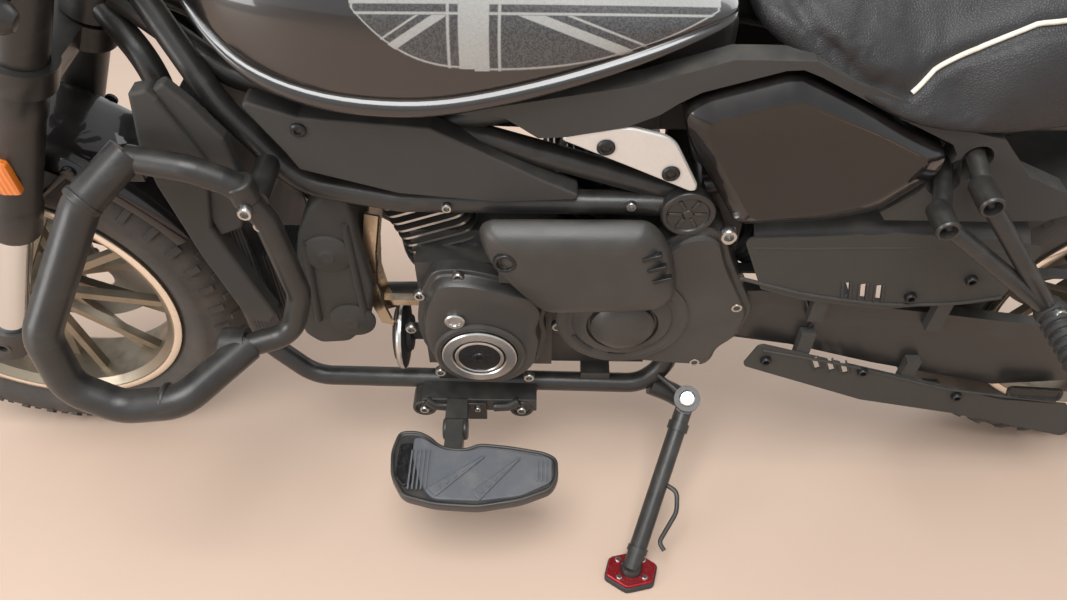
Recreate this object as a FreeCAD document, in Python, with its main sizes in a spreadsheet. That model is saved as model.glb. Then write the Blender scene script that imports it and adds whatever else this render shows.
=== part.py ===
import FreeCAD, Part
import math
import os
import re
import Sketcher

V = FreeCAD.Vector

# Cruiser motorcycle, millimetres. Bike frame: +X forward, +Y to the rider's left, +Z up,
# origin on the ground under the rear axle. Every piece is then leaned onto its side stand.

doc = FreeCAD.newDocument("Motorcycle")
sheet = doc.addObject("Spreadsheet::Sheet", "Sizes")

# Driving dimensions: alias, value in millimetres or degrees
SIZES = (
    ("wheelbase", 1505), ("rake", 26), ("fork_offset", 30), ("lean", 10.533),
    ("front_tyre_radius", 298), ("front_tyre_half", 61), ("front_rim_half", 44),
    ("rear_tyre_radius", 310), ("rear_tyre_half", 73), ("rear_rim_half", 56),
    ("bead_radius", 190), ("lip_radius", 204), ("lip_wall", 6), ("barrel_wall", 8),
    ("front_hub_radius", 32), ("rear_hub_radius", 40), ("spoke_width", 11), ("spoke_depth", 13),
    ("front_axle_radius", 10), ("rear_axle_radius", 12), ("axle_bore_radius", 6), ("running_gap", 0.05),
    ("front_disc_radius", 150), ("rear_disc_radius", 130), ("disc_wall", 5), ("seat_gap", 0.3),
    ("front_disc_place", 62), ("rear_disc_place", 66), ("disc_clearance", 5), ("disc_land", 50),
    ("frame_tube", 14), ("strut_tube", 11), ("head_radius", 30), ("stem_radius", 14),
    ("head_low", 480), ("head_high", 625), ("clamp_gap", 5), ("clamp_depth", 30),
    ("leg_spread", 100), ("fork_tube_radius", 27), ("stanchion_radius", 20.5), ("clamp_wall", 9),
    ("fork_tube_low", 215), ("fork_tube_high", 670), ("foot_top", 30), ("foot_radius", 26),
    ("plate_inner", 60), ("plate_outer", 78), ("boss_radius", 24), ("pivot_cap_radius", 28),
    ("arm_inner", 98), ("arm_wall", 16), ("belt_inner", 78.5), ("belt_width", 14), ("belt_wall", 4),
    ("rear_pulley_radius", 104), ("engine_pulley_radius", 44), ("guard_outer", 130), ("guard_wall", 3),
    ("crank_x", 873), ("crank_z", 327), ("case_left", 72), ("case_right", 100), ("case_top", 470),
    ("front_cylinder_lean", 20), ("rear_cylinder_lean", 35), ("barrel_radius", 42), ("fin_wall", 3),
    ("fin_pitch", 9), ("fin_length", 98), ("fin_width", 104), ("head_depth", 42), ("rocker_depth", 16),
    ("cover_outer", 140), ("cover_depth", 35), ("top_cover_outer", 165),
    ("ring_radius", 48), ("ring_height", 6), ("dome_radius", 45), ("dome_height", 18),
    ("radiator_half", 105), ("radiator_wall", 32), ("shroud_wall", 20), ("horn_radius", 50), ("horn_depth", 26),
    ("side_cover_depth", 40), ("frame_cover_depth", 24), ("side_plate_wall", 5),
    ("crash_tube", 19), ("crash_stay_tube", 14), ("board_wall", 14), ("board_top", 214),
    ("fender_gap", 14), ("fender_wall", 4), ("rear_fender_gap", 24), ("front_fender_half", 68),
    ("rear_fender_half", 95), ("pipe_radius", 20), ("muffler_radius", 40), ("muffler_length", 600),
    ("bar_radius", 11), ("grip_radius", 17), ("grip_length", 125), ("housing_radius", 22),
    ("riser_radius", 16), ("riser_spread", 45), ("bar_rise", 705), ("headlight_radius", 90),
    ("headlight_depth", 105), ("gauge_radius", 42), ("mirror_radius", 52), ("stand_pin_radius", 8),
    ("stand_eye_radius", 18), ("stand_eye_depth", 14), ("stand_tube", 12), ("stand_pad_height", 10),
    ("middle_x", 723.5), ("middle_y", 172), ("peg_radius", 15), ("shock_radius", 28), ("shock_rod", 10),
    ("indicator_radius", 16), ("body_cover_outer", 126), ("body_cover_depth", 26.7), ("fan_outer", 95),
    ("fan_depth", 75), ("plug_radius", 12.5), ("vent_width", 6), ("cup_radius", 17),
)
for row, (alias, value) in enumerate(SIZES, 1):
    sheet.set("A%d" % row, alias)
    sheet.set("B%d" % row, str(value))
    sheet.setAlias("B%d" % row, alias)
doc.recompute()
S = {alias: float(sheet.get(alias)) for alias, value in SIZES}


def formula(text):
    """Puts the sheet's name before each alias in a formula."""
    return re.sub(r"[a-z][a-z_]*", lambda word: "Sizes." + word.group(), str(text))


def bind(thing, **sizes):
    """Binds properties of an object to cells of the sheet."""
    for name, text in sizes.items():
        thing.setExpression(name, formula(text))
    return thing


def turned(x, y, z, direction=(0, 0, 1)):
    """A place at a point, with its Z axis along a direction."""
    return FreeCAD.Placement(V(x, y, z), FreeCAD.Rotation(V(0, 0, 1), V(*direction)))


# The park placement: leaned about the ground line until tyres and stand foot touch the floor
lean = math.radians(S["lean"])


def drop(radius, half):
    """How far a leaned tyre's lowest point lies above the floor before the bike is set down."""
    return radius * math.cos(lean) - (radius - half) * math.cos(lean) - half


rear_drop = drop(S["rear_tyre_radius"], S["rear_tyre_half"])
front_drop = drop(S["front_tyre_radius"], S["front_tyre_half"])
pitch = math.degrees(math.atan2(rear_drop - front_drop, S["wheelbase"]))
SET_DOWN = FreeCAD.Placement(V(-S["middle_x"], -S["middle_y"], -rear_drop), FreeCAD.Rotation(V(0, 1, 0), -pitch))
PARK = SET_DOWN.multiply(FreeCAD.Placement(V(0, 0, 0), FreeCAD.Rotation(V(1, 0, 0), -S["lean"])))

# The steering frame: X forward from the axis, Y left, Z up the axis from the axle's level
rake = math.radians(S["rake"])
STEER = FreeCAD.Placement(
    V(S["wheelbase"] - S["fork_offset"] * math.cos(rake), 0,
      S["front_tyre_radius"] - S["fork_offset"] * math.sin(rake)),
    FreeCAD.Rotation(V(0, 1, 0), -S["rake"]))
FRONT_AXLE = FreeCAD.Placement(V(S["wheelbase"], 0, S["front_tyre_radius"]), FreeCAD.Rotation())
REAR_AXLE = FreeCAD.Placement(V(0, 0, S["rear_tyre_radius"]), FreeCAD.Rotation())
UPRIGHT = FreeCAD.Placement()
LEFT = (0, 1, 0)
RIGHT = (0, -1, 0)


def steer_point(forward, left, up):
    """A point of the steering frame in the bike frame."""
    point = STEER.multVec(V(forward, left, up))
    return point.x, point.y, point.z


def box(name, corner, length, width, height, frame=UPRIGHT):
    """A block by its lowest corner in a frame, with its sizes bound."""
    thing = bind(doc.addObject("Part::Box", name), Length=length, Width=width, Height=height)
    thing.Placement = PARK.multiply(frame).multiply(turned(*corner))
    return thing


def cylinder(name, start, direction, radius, height, frame=UPRIGHT):
    """A cylinder from a point along a direction in a frame, with its sizes bound."""
    thing = bind(doc.addObject("Part::Cylinder", name), Radius=radius, Height=height)
    thing.Placement = PARK.multiply(frame).multiply(turned(*start, direction))
    return thing


def between(name, start, end, radius, frame=UPRIGHT):
    """A round bar from one point to another."""
    run = V(*end) - V(*start)
    return cylinder(name, start, tuple(run), radius, round(run.Length, 3), frame)


def fuse(name, things):
    thing = doc.addObject("Part::MultiFuse", name)
    thing.Shapes = things
    thing.Refine = False
    return thing


def weld(name, things):
    """Pieces joined one after the other, which suits crossing tubes."""
    whole = things[0]
    for count, piece in enumerate(things[1:], 1):
        joint = doc.addObject("Part::Fuse", "%s_%d" % (name, count))
        joint.Base = whole
        joint.Tool = piece
        joint.Refine = False
        whole = joint
    return whole


def group(name, things):
    """Like pieces that don't touch, in one node."""
    thing = doc.addObject("Part::Compound", name)
    thing.Links = things
    return thing


def cut(name, base, tool):
    thing = doc.addObject("Part::Cut", name)
    thing.Base = base
    thing.Tool = tool
    thing.Refine = False
    return thing


def vents(name, rows, start, depth):
    """Slots through a side face: columns are x, z, length and slant from upright in degrees."""
    slots = []
    for x, z, length, slant in rows:
        place = FreeCAD.Placement(V(x, start, z), FreeCAD.Rotation(V(0, 1, 0), slant))
        slots.append(box(name, (-S["vent_width"] / 2, 0, -length / 2), "vent_width", depth, length, place))
    return group(name + "_row", slots)


def mirrored(source):
    """The same piece on the bike's other side."""
    thing = doc.addObject("Part::Mirroring", source.Name + "_right")
    thing.Source = source
    thing.Base = PARK.Base
    thing.Normal = PARK.Rotation.multVec(V(0, 1, 0))
    return thing


def route(points, bend):
    """A wire of straight runs joined by tangent arcs of one radius."""
    points = [V(*point) for point in points]
    edges = []
    start = points[0]
    for before, here, after in zip(points, points[1:], points[2:]):
        into = (here - before).normalize()
        out = (after - here).normalize()
        half = into.getAngle(out) / 2
        reach = min(bend * math.tan(half), 0.45 * min((here - before).Length, (after - here).Length))
        radius = reach / math.tan(half)
        first = here - into * reach
        last = here + out * reach
        centre_line = (out - into).normalize()
        middle = here + centre_line * (radius / math.cos(half) - radius)
        edges.append(Part.LineSegment(start, first).toShape())
        edges.append(Part.Arc(first, middle, last).toShape())
        start = last
    edges.append(Part.LineSegment(start, points[-1]).toShape())
    return Part.Wire(edges)


def tube(name, points, radius, bend, frame=UPRIGHT):
    """A round tube along runs and tangent arcs."""
    path = doc.addObject("Part::Feature", name + "_path")
    path.Shape = route(points, bend)
    path.Placement = PARK.multiply(frame)
    ring = bind(doc.addObject("Part::Circle", name + "_ring"), Radius=radius)
    run = V(*points[1]) - V(*points[0])
    ring.Placement = PARK.multiply(frame).multiply(turned(*points[0], tuple(run)))
    sweep = doc.addObject("Part::Sweep", name)
    sweep.Sections = [ring]
    sweep.Spine = (path, ["Edge%d" % (i + 1) for i in range(len(path.Shape.Edges))])
    sweep.Solid = True
    return sweep


def outline_sketch(body, name, plane, points):
    """A closed outline of straight lines, held at each corner."""
    sketch = body.newObject("Sketcher::SketchObject", name)
    support = [item for item in body.Origin.OriginFeatures if item.Role == plane][0]
    sketch.AttachmentSupport = [(support, "")]
    sketch.MapMode = "FlatFace"
    count = len(points)
    for i in range(count):
        first = points[i]
        last = points[(i + 1) % count]
        sketch.addGeometry(Part.LineSegment(V(first[0], first[1], 0), V(last[0], last[1], 0)), False)
    for i in range(count):
        sketch.addConstraint(Sketcher.Constraint("Coincident", i, 2, (i + 1) % count, 1))
        sketch.addConstraint(Sketcher.Constraint("DistanceX", -1, 1, i, 1, float(points[i][0])))
        sketch.addConstraint(Sketcher.Constraint("DistanceY", -1, 1, i, 1, float(points[i][1])))
    return sketch


def round_edges(body, base, name, radius, chosen):
    """Rounds the chosen edges of a body's last feature."""
    doc.recompute()
    names = ["Edge%d" % (i + 1) for i, edge in enumerate(base.Shape.Edges) if chosen(edge)]
    fillet = body.newObject("PartDesign::Fillet", name)
    fillet.Base = (base, names)
    bind(fillet, Radius=radius)
    body.Tip = fillet
    return fillet


def side_panel(name, anchor, points, outer, depth, corner=None, edge=None):
    """A panel drawn from the side around an anchor (x, z), padded inwards from its outer face."""
    body = doc.addObject("PartDesign::Body", name)
    sketch = outline_sketch(body, name + "_outline", "XZ_Plane", points)
    pad = body.newObject("PartDesign::Pad", name + "_pad")
    pad.Profile = sketch
    bind(pad, Length=depth)
    last = pad
    if corner:
        last = round_edges(body, last, name + "_corners", corner,
                           lambda e: abs(e.BoundBox.YLength - pad.Length.Value) < 0.01 and len(e.Vertexes) == 2)
    if edge:
        last = round_edges(body, last, name + "_edges", edge,
                           lambda e: e.BoundBox.YLength < 0.01 and abs(e.BoundBox.YMin) < 0.01)
    body.Placement = PARK.multiply(turned(anchor[0], outer, anchor[1]))
    return body


def flat_panel(name, anchor, points, top, depth, corner):
    """A panel drawn from above around an anchor (x, y), padded down from its top face."""
    body = doc.addObject("PartDesign::Body", name)
    sketch = outline_sketch(body, name + "_outline", "XY_Plane", points)
    pad = body.newObject("PartDesign::Pad", name + "_pad")
    pad.Profile = sketch
    pad.Reversed = True
    bind(pad, Length=depth)
    round_edges(body, pad, name + "_corners", corner,
                lambda e: abs(e.BoundBox.ZLength - pad.Length.Value) < 0.01 and len(e.Vertexes) == 2)
    body.Placement = PARK.multiply(turned(anchor[0], anchor[1], top))
    return body


def spun(name, points, frame, angle=360, start=0):
    """A ring from a half section (across, radius) turned about the wheel's axle line."""
    body = doc.addObject("PartDesign::Body", name)
    sketch = outline_sketch(body, name + "_section", "XY_Plane", points)
    turn = body.newObject("PartDesign::Revolution", name + "_turn")
    turn.Profile = sketch
    turn.ReferenceAxis = (sketch, ["H_Axis"])
    turn.Angle = angle
    across = FreeCAD.Placement(V(0, 0, 0), FreeCAD.Rotation(V(0, 1, 0), V(0, 0, 1), V(1, 0, 0), "XYZ"))
    body.Placement = PARK.multiply(frame).multiply(
        FreeCAD.Placement(V(0, 0, 0), FreeCAD.Rotation(V(0, 1, 0), start))).multiply(across)
    return body


def tyre(name, frame, radius, half, rim_half):
    """A tyre: beads inside the rim's lips, straight walls and a round crown."""
    bead = S["bead_radius"] + S["seat_gap"]
    inside = rim_half - S["seat_gap"]
    shoulder = radius - half
    left = [V(0, -inside, bead), V(0, -inside, S["lip_radius"] + 2), V(0, -half, shoulder)]
    right = [V(0, half, shoulder), V(0, inside, S["lip_radius"] + 2), V(0, inside, bead), left[0]]
    edges = [Part.LineSegment(a, b).toShape() for a, b in zip(left, left[1:])]
    edges.append(Part.Arc(left[2], V(0, 0, radius), right[0]).toShape())
    edges += [Part.LineSegment(a, b).toShape() for a, b in zip(right, right[1:])]
    thing = doc.addObject("Part::Feature", name)
    thing.Shape = Part.Face(Part.Wire(edges)).revolve(V(0, 0, 0), V(0, 1, 0), 360)
    thing.Placement = PARK.multiply(frame)
    return thing


def rim(name, frame, half, hub_radius, hub_left, hub_right, axle):
    """A cast rim: lipped barrel, hub and two crossed sets of spokes."""
    lip = half + S["lip_wall"]
    inner = S["bead_radius"] - S["barrel_wall"]
    barrel = spun(name + "_barrel", [
        (-lip, S["lip_radius"]), (-half, S["lip_radius"]), (-half, S["bead_radius"]),
        (half, S["bead_radius"]), (half, S["lip_radius"]), (lip, S["lip_radius"]),
        (lip, inner + 10), (half - 4, inner), (4 - half, inner), (-lip, inner + 10)], frame)
    hub = cylinder(name + "_hub", (0, -hub_right, 0), LEFT, hub_radius, hub_left + hub_right, frame)
    pieces = [barrel, hub]
    count = 10
    for side in (1, -1):
        for step in range(count):
            spin = 360 / count * step + side * 9
            place = frame.multiply(FreeCAD.Placement(V(0, 0, 0), FreeCAD.Rotation(V(0, 1, 0), spin)))
            place = place.multiply(FreeCAD.Placement(
                V(side * 14, side * 27, hub_radius - 6), FreeCAD.Rotation(V(0, 1, 0), -side * 6)))
            place = place.multiply(FreeCAD.Placement(V(0, 0, 0), FreeCAD.Rotation(V(1, 0, 0), side * 5)))
            spoke = bind(doc.addObject("Part::Box", name + "_spoke"), Length="spoke_width", Width="spoke_depth")
            spoke.Height = inner - hub_radius + 11
            spoke.Placement = PARK.multiply(place).multiply(
                turned(-S["spoke_width"] / 2, -S["spoke_depth"] / 2, 0))
            pieces.append(spoke)
    bore = cylinder(name + "_bore", (0, -hub_right - 1, 0), LEFT, axle + " + running_gap",
                    hub_left + hub_right + 2, frame)
    return cut(name, fuse(name + "_cast", pieces), bore)


def disc(name, frame, place, radius, axle):
    """A brake disc on the right of a wheel, with a ring of openings inside its rubbing band."""
    plate = cylinder(name + "_plate", (0, -place - S["disc_wall"], 0), LEFT, radius, "disc_wall", frame)
    holes = [cylinder(name + "_bore", (0, -place - S["disc_wall"] - 1, 0), LEFT,
                      axle + " + running_gap", "disc_wall + 2", frame)]
    count = 6
    for step in range(count):
        angle = 2 * math.pi * step / count
        reach = 0.5 * (S["disc_land"] + 92)
        holes.append(cylinder(name + "_window", (
            reach * math.cos(angle), -place - S["disc_wall"] - 1, reach * math.sin(angle)), LEFT,
            22, "disc_wall + 2", frame))
    return cut(name, plate, group(name + "_holes", holes))


def arch(name, frame, inner, wall, half, skirt, start, sweep):
    """A mudguard: a U section turned part of a circle about the axle."""
    outer = inner + wall
    return spun(name, [(-half, outer), (half, outer), (half, outer - skirt), (half - wall, outer - skirt),
                       (half - wall, inner), (wall - half, inner), (wall - half, outer - skirt),
                       (-half, outer - skirt)], frame, sweep, start)


def loft(name, sections):
    """A body through upright sections: columns x, half width, low, high, in the bike frame."""
    wires = []
    for x, half, low, high in sections:
        tall = high - low
        corner = V(x, 0.82 * half, low)
        waist = V(x, half, low + 0.4 * tall)
        brow = V(x, 0.72 * half, low + 0.86 * tall)
        top = V(x, 0, high)
        flip = [V(p.x, -p.y, p.z) for p in (corner, waist, brow)]
        wires.append(Part.Wire([
            Part.LineSegment(flip[0], corner).toShape(),
            Part.Arc(corner, waist, brow).toShape(),
            Part.Arc(brow, top, flip[2]).toShape(),
            Part.Arc(flip[2], flip[1], flip[0]).toShape()]))
    thing = doc.addObject("Part::Feature", name)
    thing.Shape = Part.makeLoft(wires, True, False)
    thing.Placement = PARK
    return thing


nodes = []


def node(name, thing):
    """Names the sub-part that is written under this name."""
    thing.Label = name
    nodes.append(thing)
    return thing


# Wheels
node("front_tyre", tyre("front_tyre", FRONT_AXLE, S["front_tyre_radius"], S["front_tyre_half"],
                        S["front_rim_half"]))
node("rear_tyre", tyre("rear_tyre", REAR_AXLE, S["rear_tyre_radius"], S["rear_tyre_half"],
                       S["rear_rim_half"]))
node("front_rim", rim("front_rim", FRONT_AXLE, S["front_rim_half"], S["front_hub_radius"],
                      60, S["front_disc_place"], "front_axle_radius"))
wheel = rim("rear_wheel_cast", REAR_AXLE, S["rear_rim_half"], S["rear_hub_radius"],
            62, S["rear_disc_place"], "rear_axle_radius")
belt_middle = S["belt_inner"] + S["belt_width"] / 2
pulley_hub = cylinder("rear_pulley_hub", (0, 62, 0), LEFT, "rear_hub_radius + 12", "belt_inner - 62", REAR_AXLE)
pulley = cylinder("rear_pulley", (0, S["belt_inner"], 0), LEFT, "rear_pulley_radius", "belt_width", REAR_AXLE)
pulley_bore = cylinder("rear_pulley_bore", (0, 61, 0), LEFT, "rear_axle_radius + running_gap", 60, REAR_AXLE)
pulley_cut = cut("rear_pulley_cut", fuse("rear_pulley_block", [pulley_hub, pulley]), pulley_bore)
node("rear_rim", fuse("rear_rim", [wheel, pulley_cut]))
node("front_disc", disc("front_disc", FRONT_AXLE, S["front_disc_place"], "front_disc_radius",
                        "front_axle_radius"))
node("rear_disc", disc("rear_disc", REAR_AXLE, S["rear_disc_place"], "rear_disc_radius",
                       "rear_axle_radius"))

# Frame: tubes as tables of points x, y, z on the left side, then mirrored
frame_tubes = {
    "rail": ("frame_tube", 70, [steer_point(-25, 20, 560), (1135, 75, 656), (1063, 92, 560),
                                (954, 102, 545), (628, 106, 546)]),
    "upper": ("frame_tube", 90, [steer_point(-25, 18, 520), (1120, 45, 662), (1000, 58, 650),
                                 (860, 90, 622), (650, 98, 558)]),
    "down": ("frame_tube", 60, [steer_point(-15, 15, 498), (1201, 50, 680), (1182, 68, 250),
                                (1120, 82, 190), (655, 90, 190), (622, 80, 220), (608, 62, 300)]),
    "seat_rail": ("frame_tube", 90, [(900, 80, 632), (760, 80, 672), (620, 85, 678),
                                     (430, 85, 640), (40, 85, 660)]),
    "strut": ("strut_tube", 60, [(640, 82, 546), (460, 88, 592), (300, 84, 643)]),
}
left_pieces = [tube(name, points, radius, bend) for name, (radius, bend, points) in frame_tubes.items()]
left_pieces += [
    box("pivot_plate", (562, S["plate_inner"], 275), 78, "plate_outer - plate_inner", 285),
    cylinder("frame_boss", (638, S["plate_inner"], 548), LEFT, "boss_radius", "112 - plate_inner"),
    cylinder("pivot_cap", (638, 112, 548), LEFT, "pivot_cap_radius", 12)]
left_side = fuse("frame_side", left_pieces)
frame_pieces = [left_side, mirrored(left_side)]
for name, x, z in (("low_cross", 608, 300), ("high_cross", 608, 540)):
    frame_pieces.append(cylinder(name, (x, -S["plate_outer"], z), LEFT, "frame_tube", "2 * plate_outer"))
frame_pieces.append(cylinder("head_tube", (0, 0, S["head_low"]), (0, 0, 1), "head_radius",
                             "head_high - head_low", STEER))

# The side stand turns about a slanted pin on the left cradle tube
STAND_PIVOT = V(592, 122, 196)
STAND_AXIS = V(0.13, 0.5, 0.855).normalize()
foot_floor = PARK.multVec(V(671, 317, 58))
FOOT_AT = PARK.inverse().multVec(V(foot_floor.x, foot_floor.y, S["stand_pad_height"] + 5))


def on_pin(across):
    """A point on the stand's pin, measured along it from the pivot."""
    point = STAND_PIVOT + STAND_AXIS * across
    return point.x, point.y, point.z


bracket_pieces = []
half_eye = S["stand_eye_depth"] / 2
ear_gap = half_eye + S["seat_gap"]
ear_wall = 7
tie = V(630, 88, 204) - STAND_PIVOT
tie = STAND_PIVOT + tie - STAND_AXIS * tie.dot(STAND_AXIS)
for name, across in (("stand_ear_low", -ear_gap - ear_wall), ("stand_ear_high", ear_gap)):
    bracket_pieces.append(cylinder(name, on_pin(across), tuple(STAND_AXIS), "stand_eye_radius", ear_wall))
bracket_pieces.append(cylinder("stand_pin", on_pin(-ear_gap - ear_wall), tuple(STAND_AXIS), "stand_pin_radius",
                             2 * (ear_gap + ear_wall)))
for name, across in (("stand_arm_low", -ear_gap - ear_wall / 2), ("stand_arm_high", ear_gap + ear_wall / 2)):
    start = STAND_PIVOT + STAND_AXIS * across
    bracket_pieces.append(between(name, tuple(start), tuple(tie + STAND_AXIS * across), ear_wall / 2))
frame_pieces.append(fuse("stand_bracket", bracket_pieces))
head_bore = cylinder("head_bore", (0, 0, S["head_low"] - 1), (0, 0, 1), "stem_radius + running_gap",
                     "head_high - head_low + 2", STEER)
frame = node("frame", cut("frame", weld("frame_welded", frame_pieces), head_bore))

# Engine
crank = (S["crank_x"], S["crank_z"])
case_pieces = [
    box("case_main", (652, -S["case_right"], 216), 303, "case_right + case_left", "case_top - 216"),
    box("case_left_front", (782, S["case_left"], 252), 166, "cover_outer - cover_depth - case_left", 196),
    box("case_top_pad", (778, 56, 440), 68, "guard_outer - 56", 70),
    cylinder("clutch_cover", (860, -S["case_right"], 362), RIGHT, 92, 30),
    cylinder("clutch_cap", (860, -S["case_right"] - 30, 362), RIGHT, 60, 6),
    cylinder("engine_shaft", (704, S["case_left"], 379), LEFT, 18, "belt_inner - case_left"),
    cylinder("engine_pulley", (704, S["belt_inner"], 379), LEFT, "engine_pulley_radius", "belt_width"),
]
for name, x in (("mount_rear", 700), ("mount_front", 900)):
    for side in (-1, 1):
        y = 74 if side > 0 else -98
        case_pieces.append(box(name, (x, y if side < 0 else 60, 190), 40, 24 if side < 0 else 34, 27))
crankcase = node("crankcase", cut("crankcase", fuse("crankcase_block", case_pieces), frame))


def engine_cylinder(name, angle, port):
    """A finned barrel, head, exhaust port and rocker cover standing on the crank centre's line."""
    tilt = FreeCAD.Placement(V(crank[0], 0, crank[1]), FreeCAD.Rotation(V(0, 1, 0), angle))
    base = 150
    first = 168
    count = 8
    head = first + count * S["fin_pitch"]
    pieces = [cylinder(name + "_barrel", (0, 0, base), (0, 0, 1), "barrel_radius", head - base + 1, tilt)]
    for step in range(count):
        pieces.append(box(name + "_fin", (-S["fin_length"] / 2, -S["fin_width"] / 2, first + step * S["fin_pitch"]),
                          "fin_length", "fin_width", "fin_wall", tilt))
    pieces.append(box(name + "_head", (-44, -46, head), 88, 92, "head_depth", tilt))
    pieces.append(box(name + "_rocker", (-38, -40, head + S["head_depth"]), 76, 80, "rocker_depth", tilt))
    pieces.append(box(name + "_port", (port[0], port[1], head), 10, 44, "head_depth", tilt))
    rooms.append(box(name + "_room", (-S["fin_length"] / 2 - S["seat_gap"], -S["fin_width"] / 2 - S["seat_gap"],
                                      base), "fin_length + 2 * seat_gap", "fin_width + 2 * seat_gap", 160, tilt))
    return fuse(name, pieces)


rooms = []
cylinders = node("cylinders", cut("cylinders", group("cylinder_pair", [
    engine_cylinder("front_cylinder", S["front_cylinder_lean"], (39, -35)),
    engine_cylinder("rear_cylinder", -S["rear_cylinder_lean"], (-49, -51))]), crankcase))
primary_panel = side_panel("primary_panel", crank, [
    (88, 36), (54, 128), (4, 158), (-80, 96), (-100, 40), (-89, -42), (-22, -84), (58, -78), (88, -6)],
    S["cover_outer"], "cover_depth", 22, 6)
crank_ring = cylinder("crank_ring", (crank[0], S["cover_outer"], crank[1]), LEFT, "ring_radius", "ring_height")
crank_hub = cylinder("crank_hub", (crank[0], S["cover_outer"] + S["ring_height"], crank[1]), LEFT, 22, 3)
oil_plug = cylinder("oil_plug", (901, S["cover_outer"], 386), LEFT, "plug_radius", 7)
primary = node("primary_cover", cut("primary_cover", fuse("primary_block", [
    primary_panel, crank_ring, crank_hub, oil_plug]), crankcase))
top_panel = side_panel("top_panel", (760, 510), [
    (98, 52), (-90, 54), (-104, 8), (-88, -56), (14, -72), (76, -26)],
    S["top_cover_outer"], "top_cover_outer - guard_outer - seat_gap", 24, 14)
top_room = 12
top_openings = group("top_openings", [
    cylinder("top_recess", (836, S["top_cover_outer"] - top_room, 507), LEFT, "plug_radius", 2 * top_room),
    vents("top_vent", [(676, 516, 22, 22), (669, 499, 22, 22), (661, 481, 22, 22)],
          S["top_cover_outer"] - top_room, 2 * top_room)])
node("top_cover", cut("top_cover", cut("top_cover_open", top_panel, top_openings), primary))
pulley_panel = side_panel("pulley_panel", (704, 379), [
    (68, 14), (-70, 140), (-160, 18), (-155, -60), (-116, -92), (14, -80), (56, -34)],
    S["guard_outer"], "guard_outer - plate_outer - 0.5", 14, 5)
pulley_room = side_panel("pulley_room", (704, 379), [
    (61, 12), (-66, 128), (-190, 128), (-190, -82), (10, -73), (50, -33)],
    S["guard_outer"] - 7, "guard_outer - plate_outer")
dome = cylinder("pulley_dome", (704, S["guard_outer"], 379), LEFT, "dome_radius", "dome_height")
shell = fuse("pulley_shell", [cut("pulley_hollow", pulley_panel, pulley_room), dome])
node("pulley_cover", cut("pulley_cover", shell, crankcase))

# Cooling
radiator_frame = FreeCAD.Placement(V(1157, 0, 485), FreeCAD.Rotation(V(0, 1, 0), 2.5))
core = box("radiator_core", (-S["radiator_wall"] / 2, -S["radiator_half"], -165), "radiator_wall",
           "2 * radiator_half", 330, radiator_frame)
radiator_lugs = []
for z in (-120, 120):
    for y in (-60, 60):
        radiator_lugs.append(cylinder("radiator_lug", (S["radiator_wall"] / 2, y, z), (1, 0, 0), 8, 14,
                                      radiator_frame))
fan_housing = side_panel("fan_housing", (1050, 410), [
    (33, 71), (12, 114), (-8, 134), (-33, 136), (-37, 106), (-36, 64), (-43, -21), (-27, -94),
    (4, -128), (44, -132), (62, -112), (56, -20)], S["fan_outer"], "fan_depth", 8, 7)
fan_duct = box("fan_duct", (1090, 30, 340), 52, 54, 96)
radiator = node("radiator", cut("radiator", fuse("radiator_block", [core, fan_housing, fan_duct] + radiator_lugs),
                                frame))
shroud_strip = side_panel("shroud_strip", (1157, 485), [
    (38, 211), (20, 215), (12, 204), (-14, 128), (-3, 80), (8, 33), (-30, -114), (-19, -130),
    (7, -125), (33, -10), (49, 95), (51, 140)], S["radiator_half"] + S["shroud_wall"], "shroud_wall", 4, 4)
shroud_block = side_panel("shroud_block", (1157, 485), [
    (16, 212), (4, 219), (-16, 192), (-37, 153), (-44, 85), (-24, 29), (4, 16), (14, 80), (6, 140)],
    S["radiator_half"] + S["shroud_wall"] - 6, "shroud_wall - 6", 4, 4)
shroud = fuse("shroud", [shroud_strip, shroud_block])
node("radiator_shrouds", group("radiator_shrouds", [shroud, mirrored(shroud)]))
horn_disc = cylinder("horn_disc", (974, 62, 264), (1, 0, 0), "horn_radius", "horn_depth")
horn_arm = cylinder("horn_arm", (955, 58, 264), (1, 0, 0), 10, 20)
node("horn", fuse("horn", [horn_disc, horn_arm]))

# Tank, with its lugs down to the upper tubes
tank_shape = loft("tank_skin", [
    (1158, 55, 772, 806), (1100, 112, 706, 858), (980, 141, 677, 872),
    (840, 143, 690, 852), (700, 118, 716, 800), (612, 86, 742, 770)])
tank_lugs = [cylinder("tank_lug", (x, y, z), (0, 0, 1), 10, 42)
             for x, y, z in ((1000, 58, 652), (1000, -58, 652), (740, 80, 674), (740, -80, 674))]
fuel_cap = cylinder("fuel_cap", (930, 0, 850), (0, 0, 1), 34, 28)
node("tank", cut("tank", fuse("tank_filled", [tank_shape, fuel_cap] + tank_lugs), frame))

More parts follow.
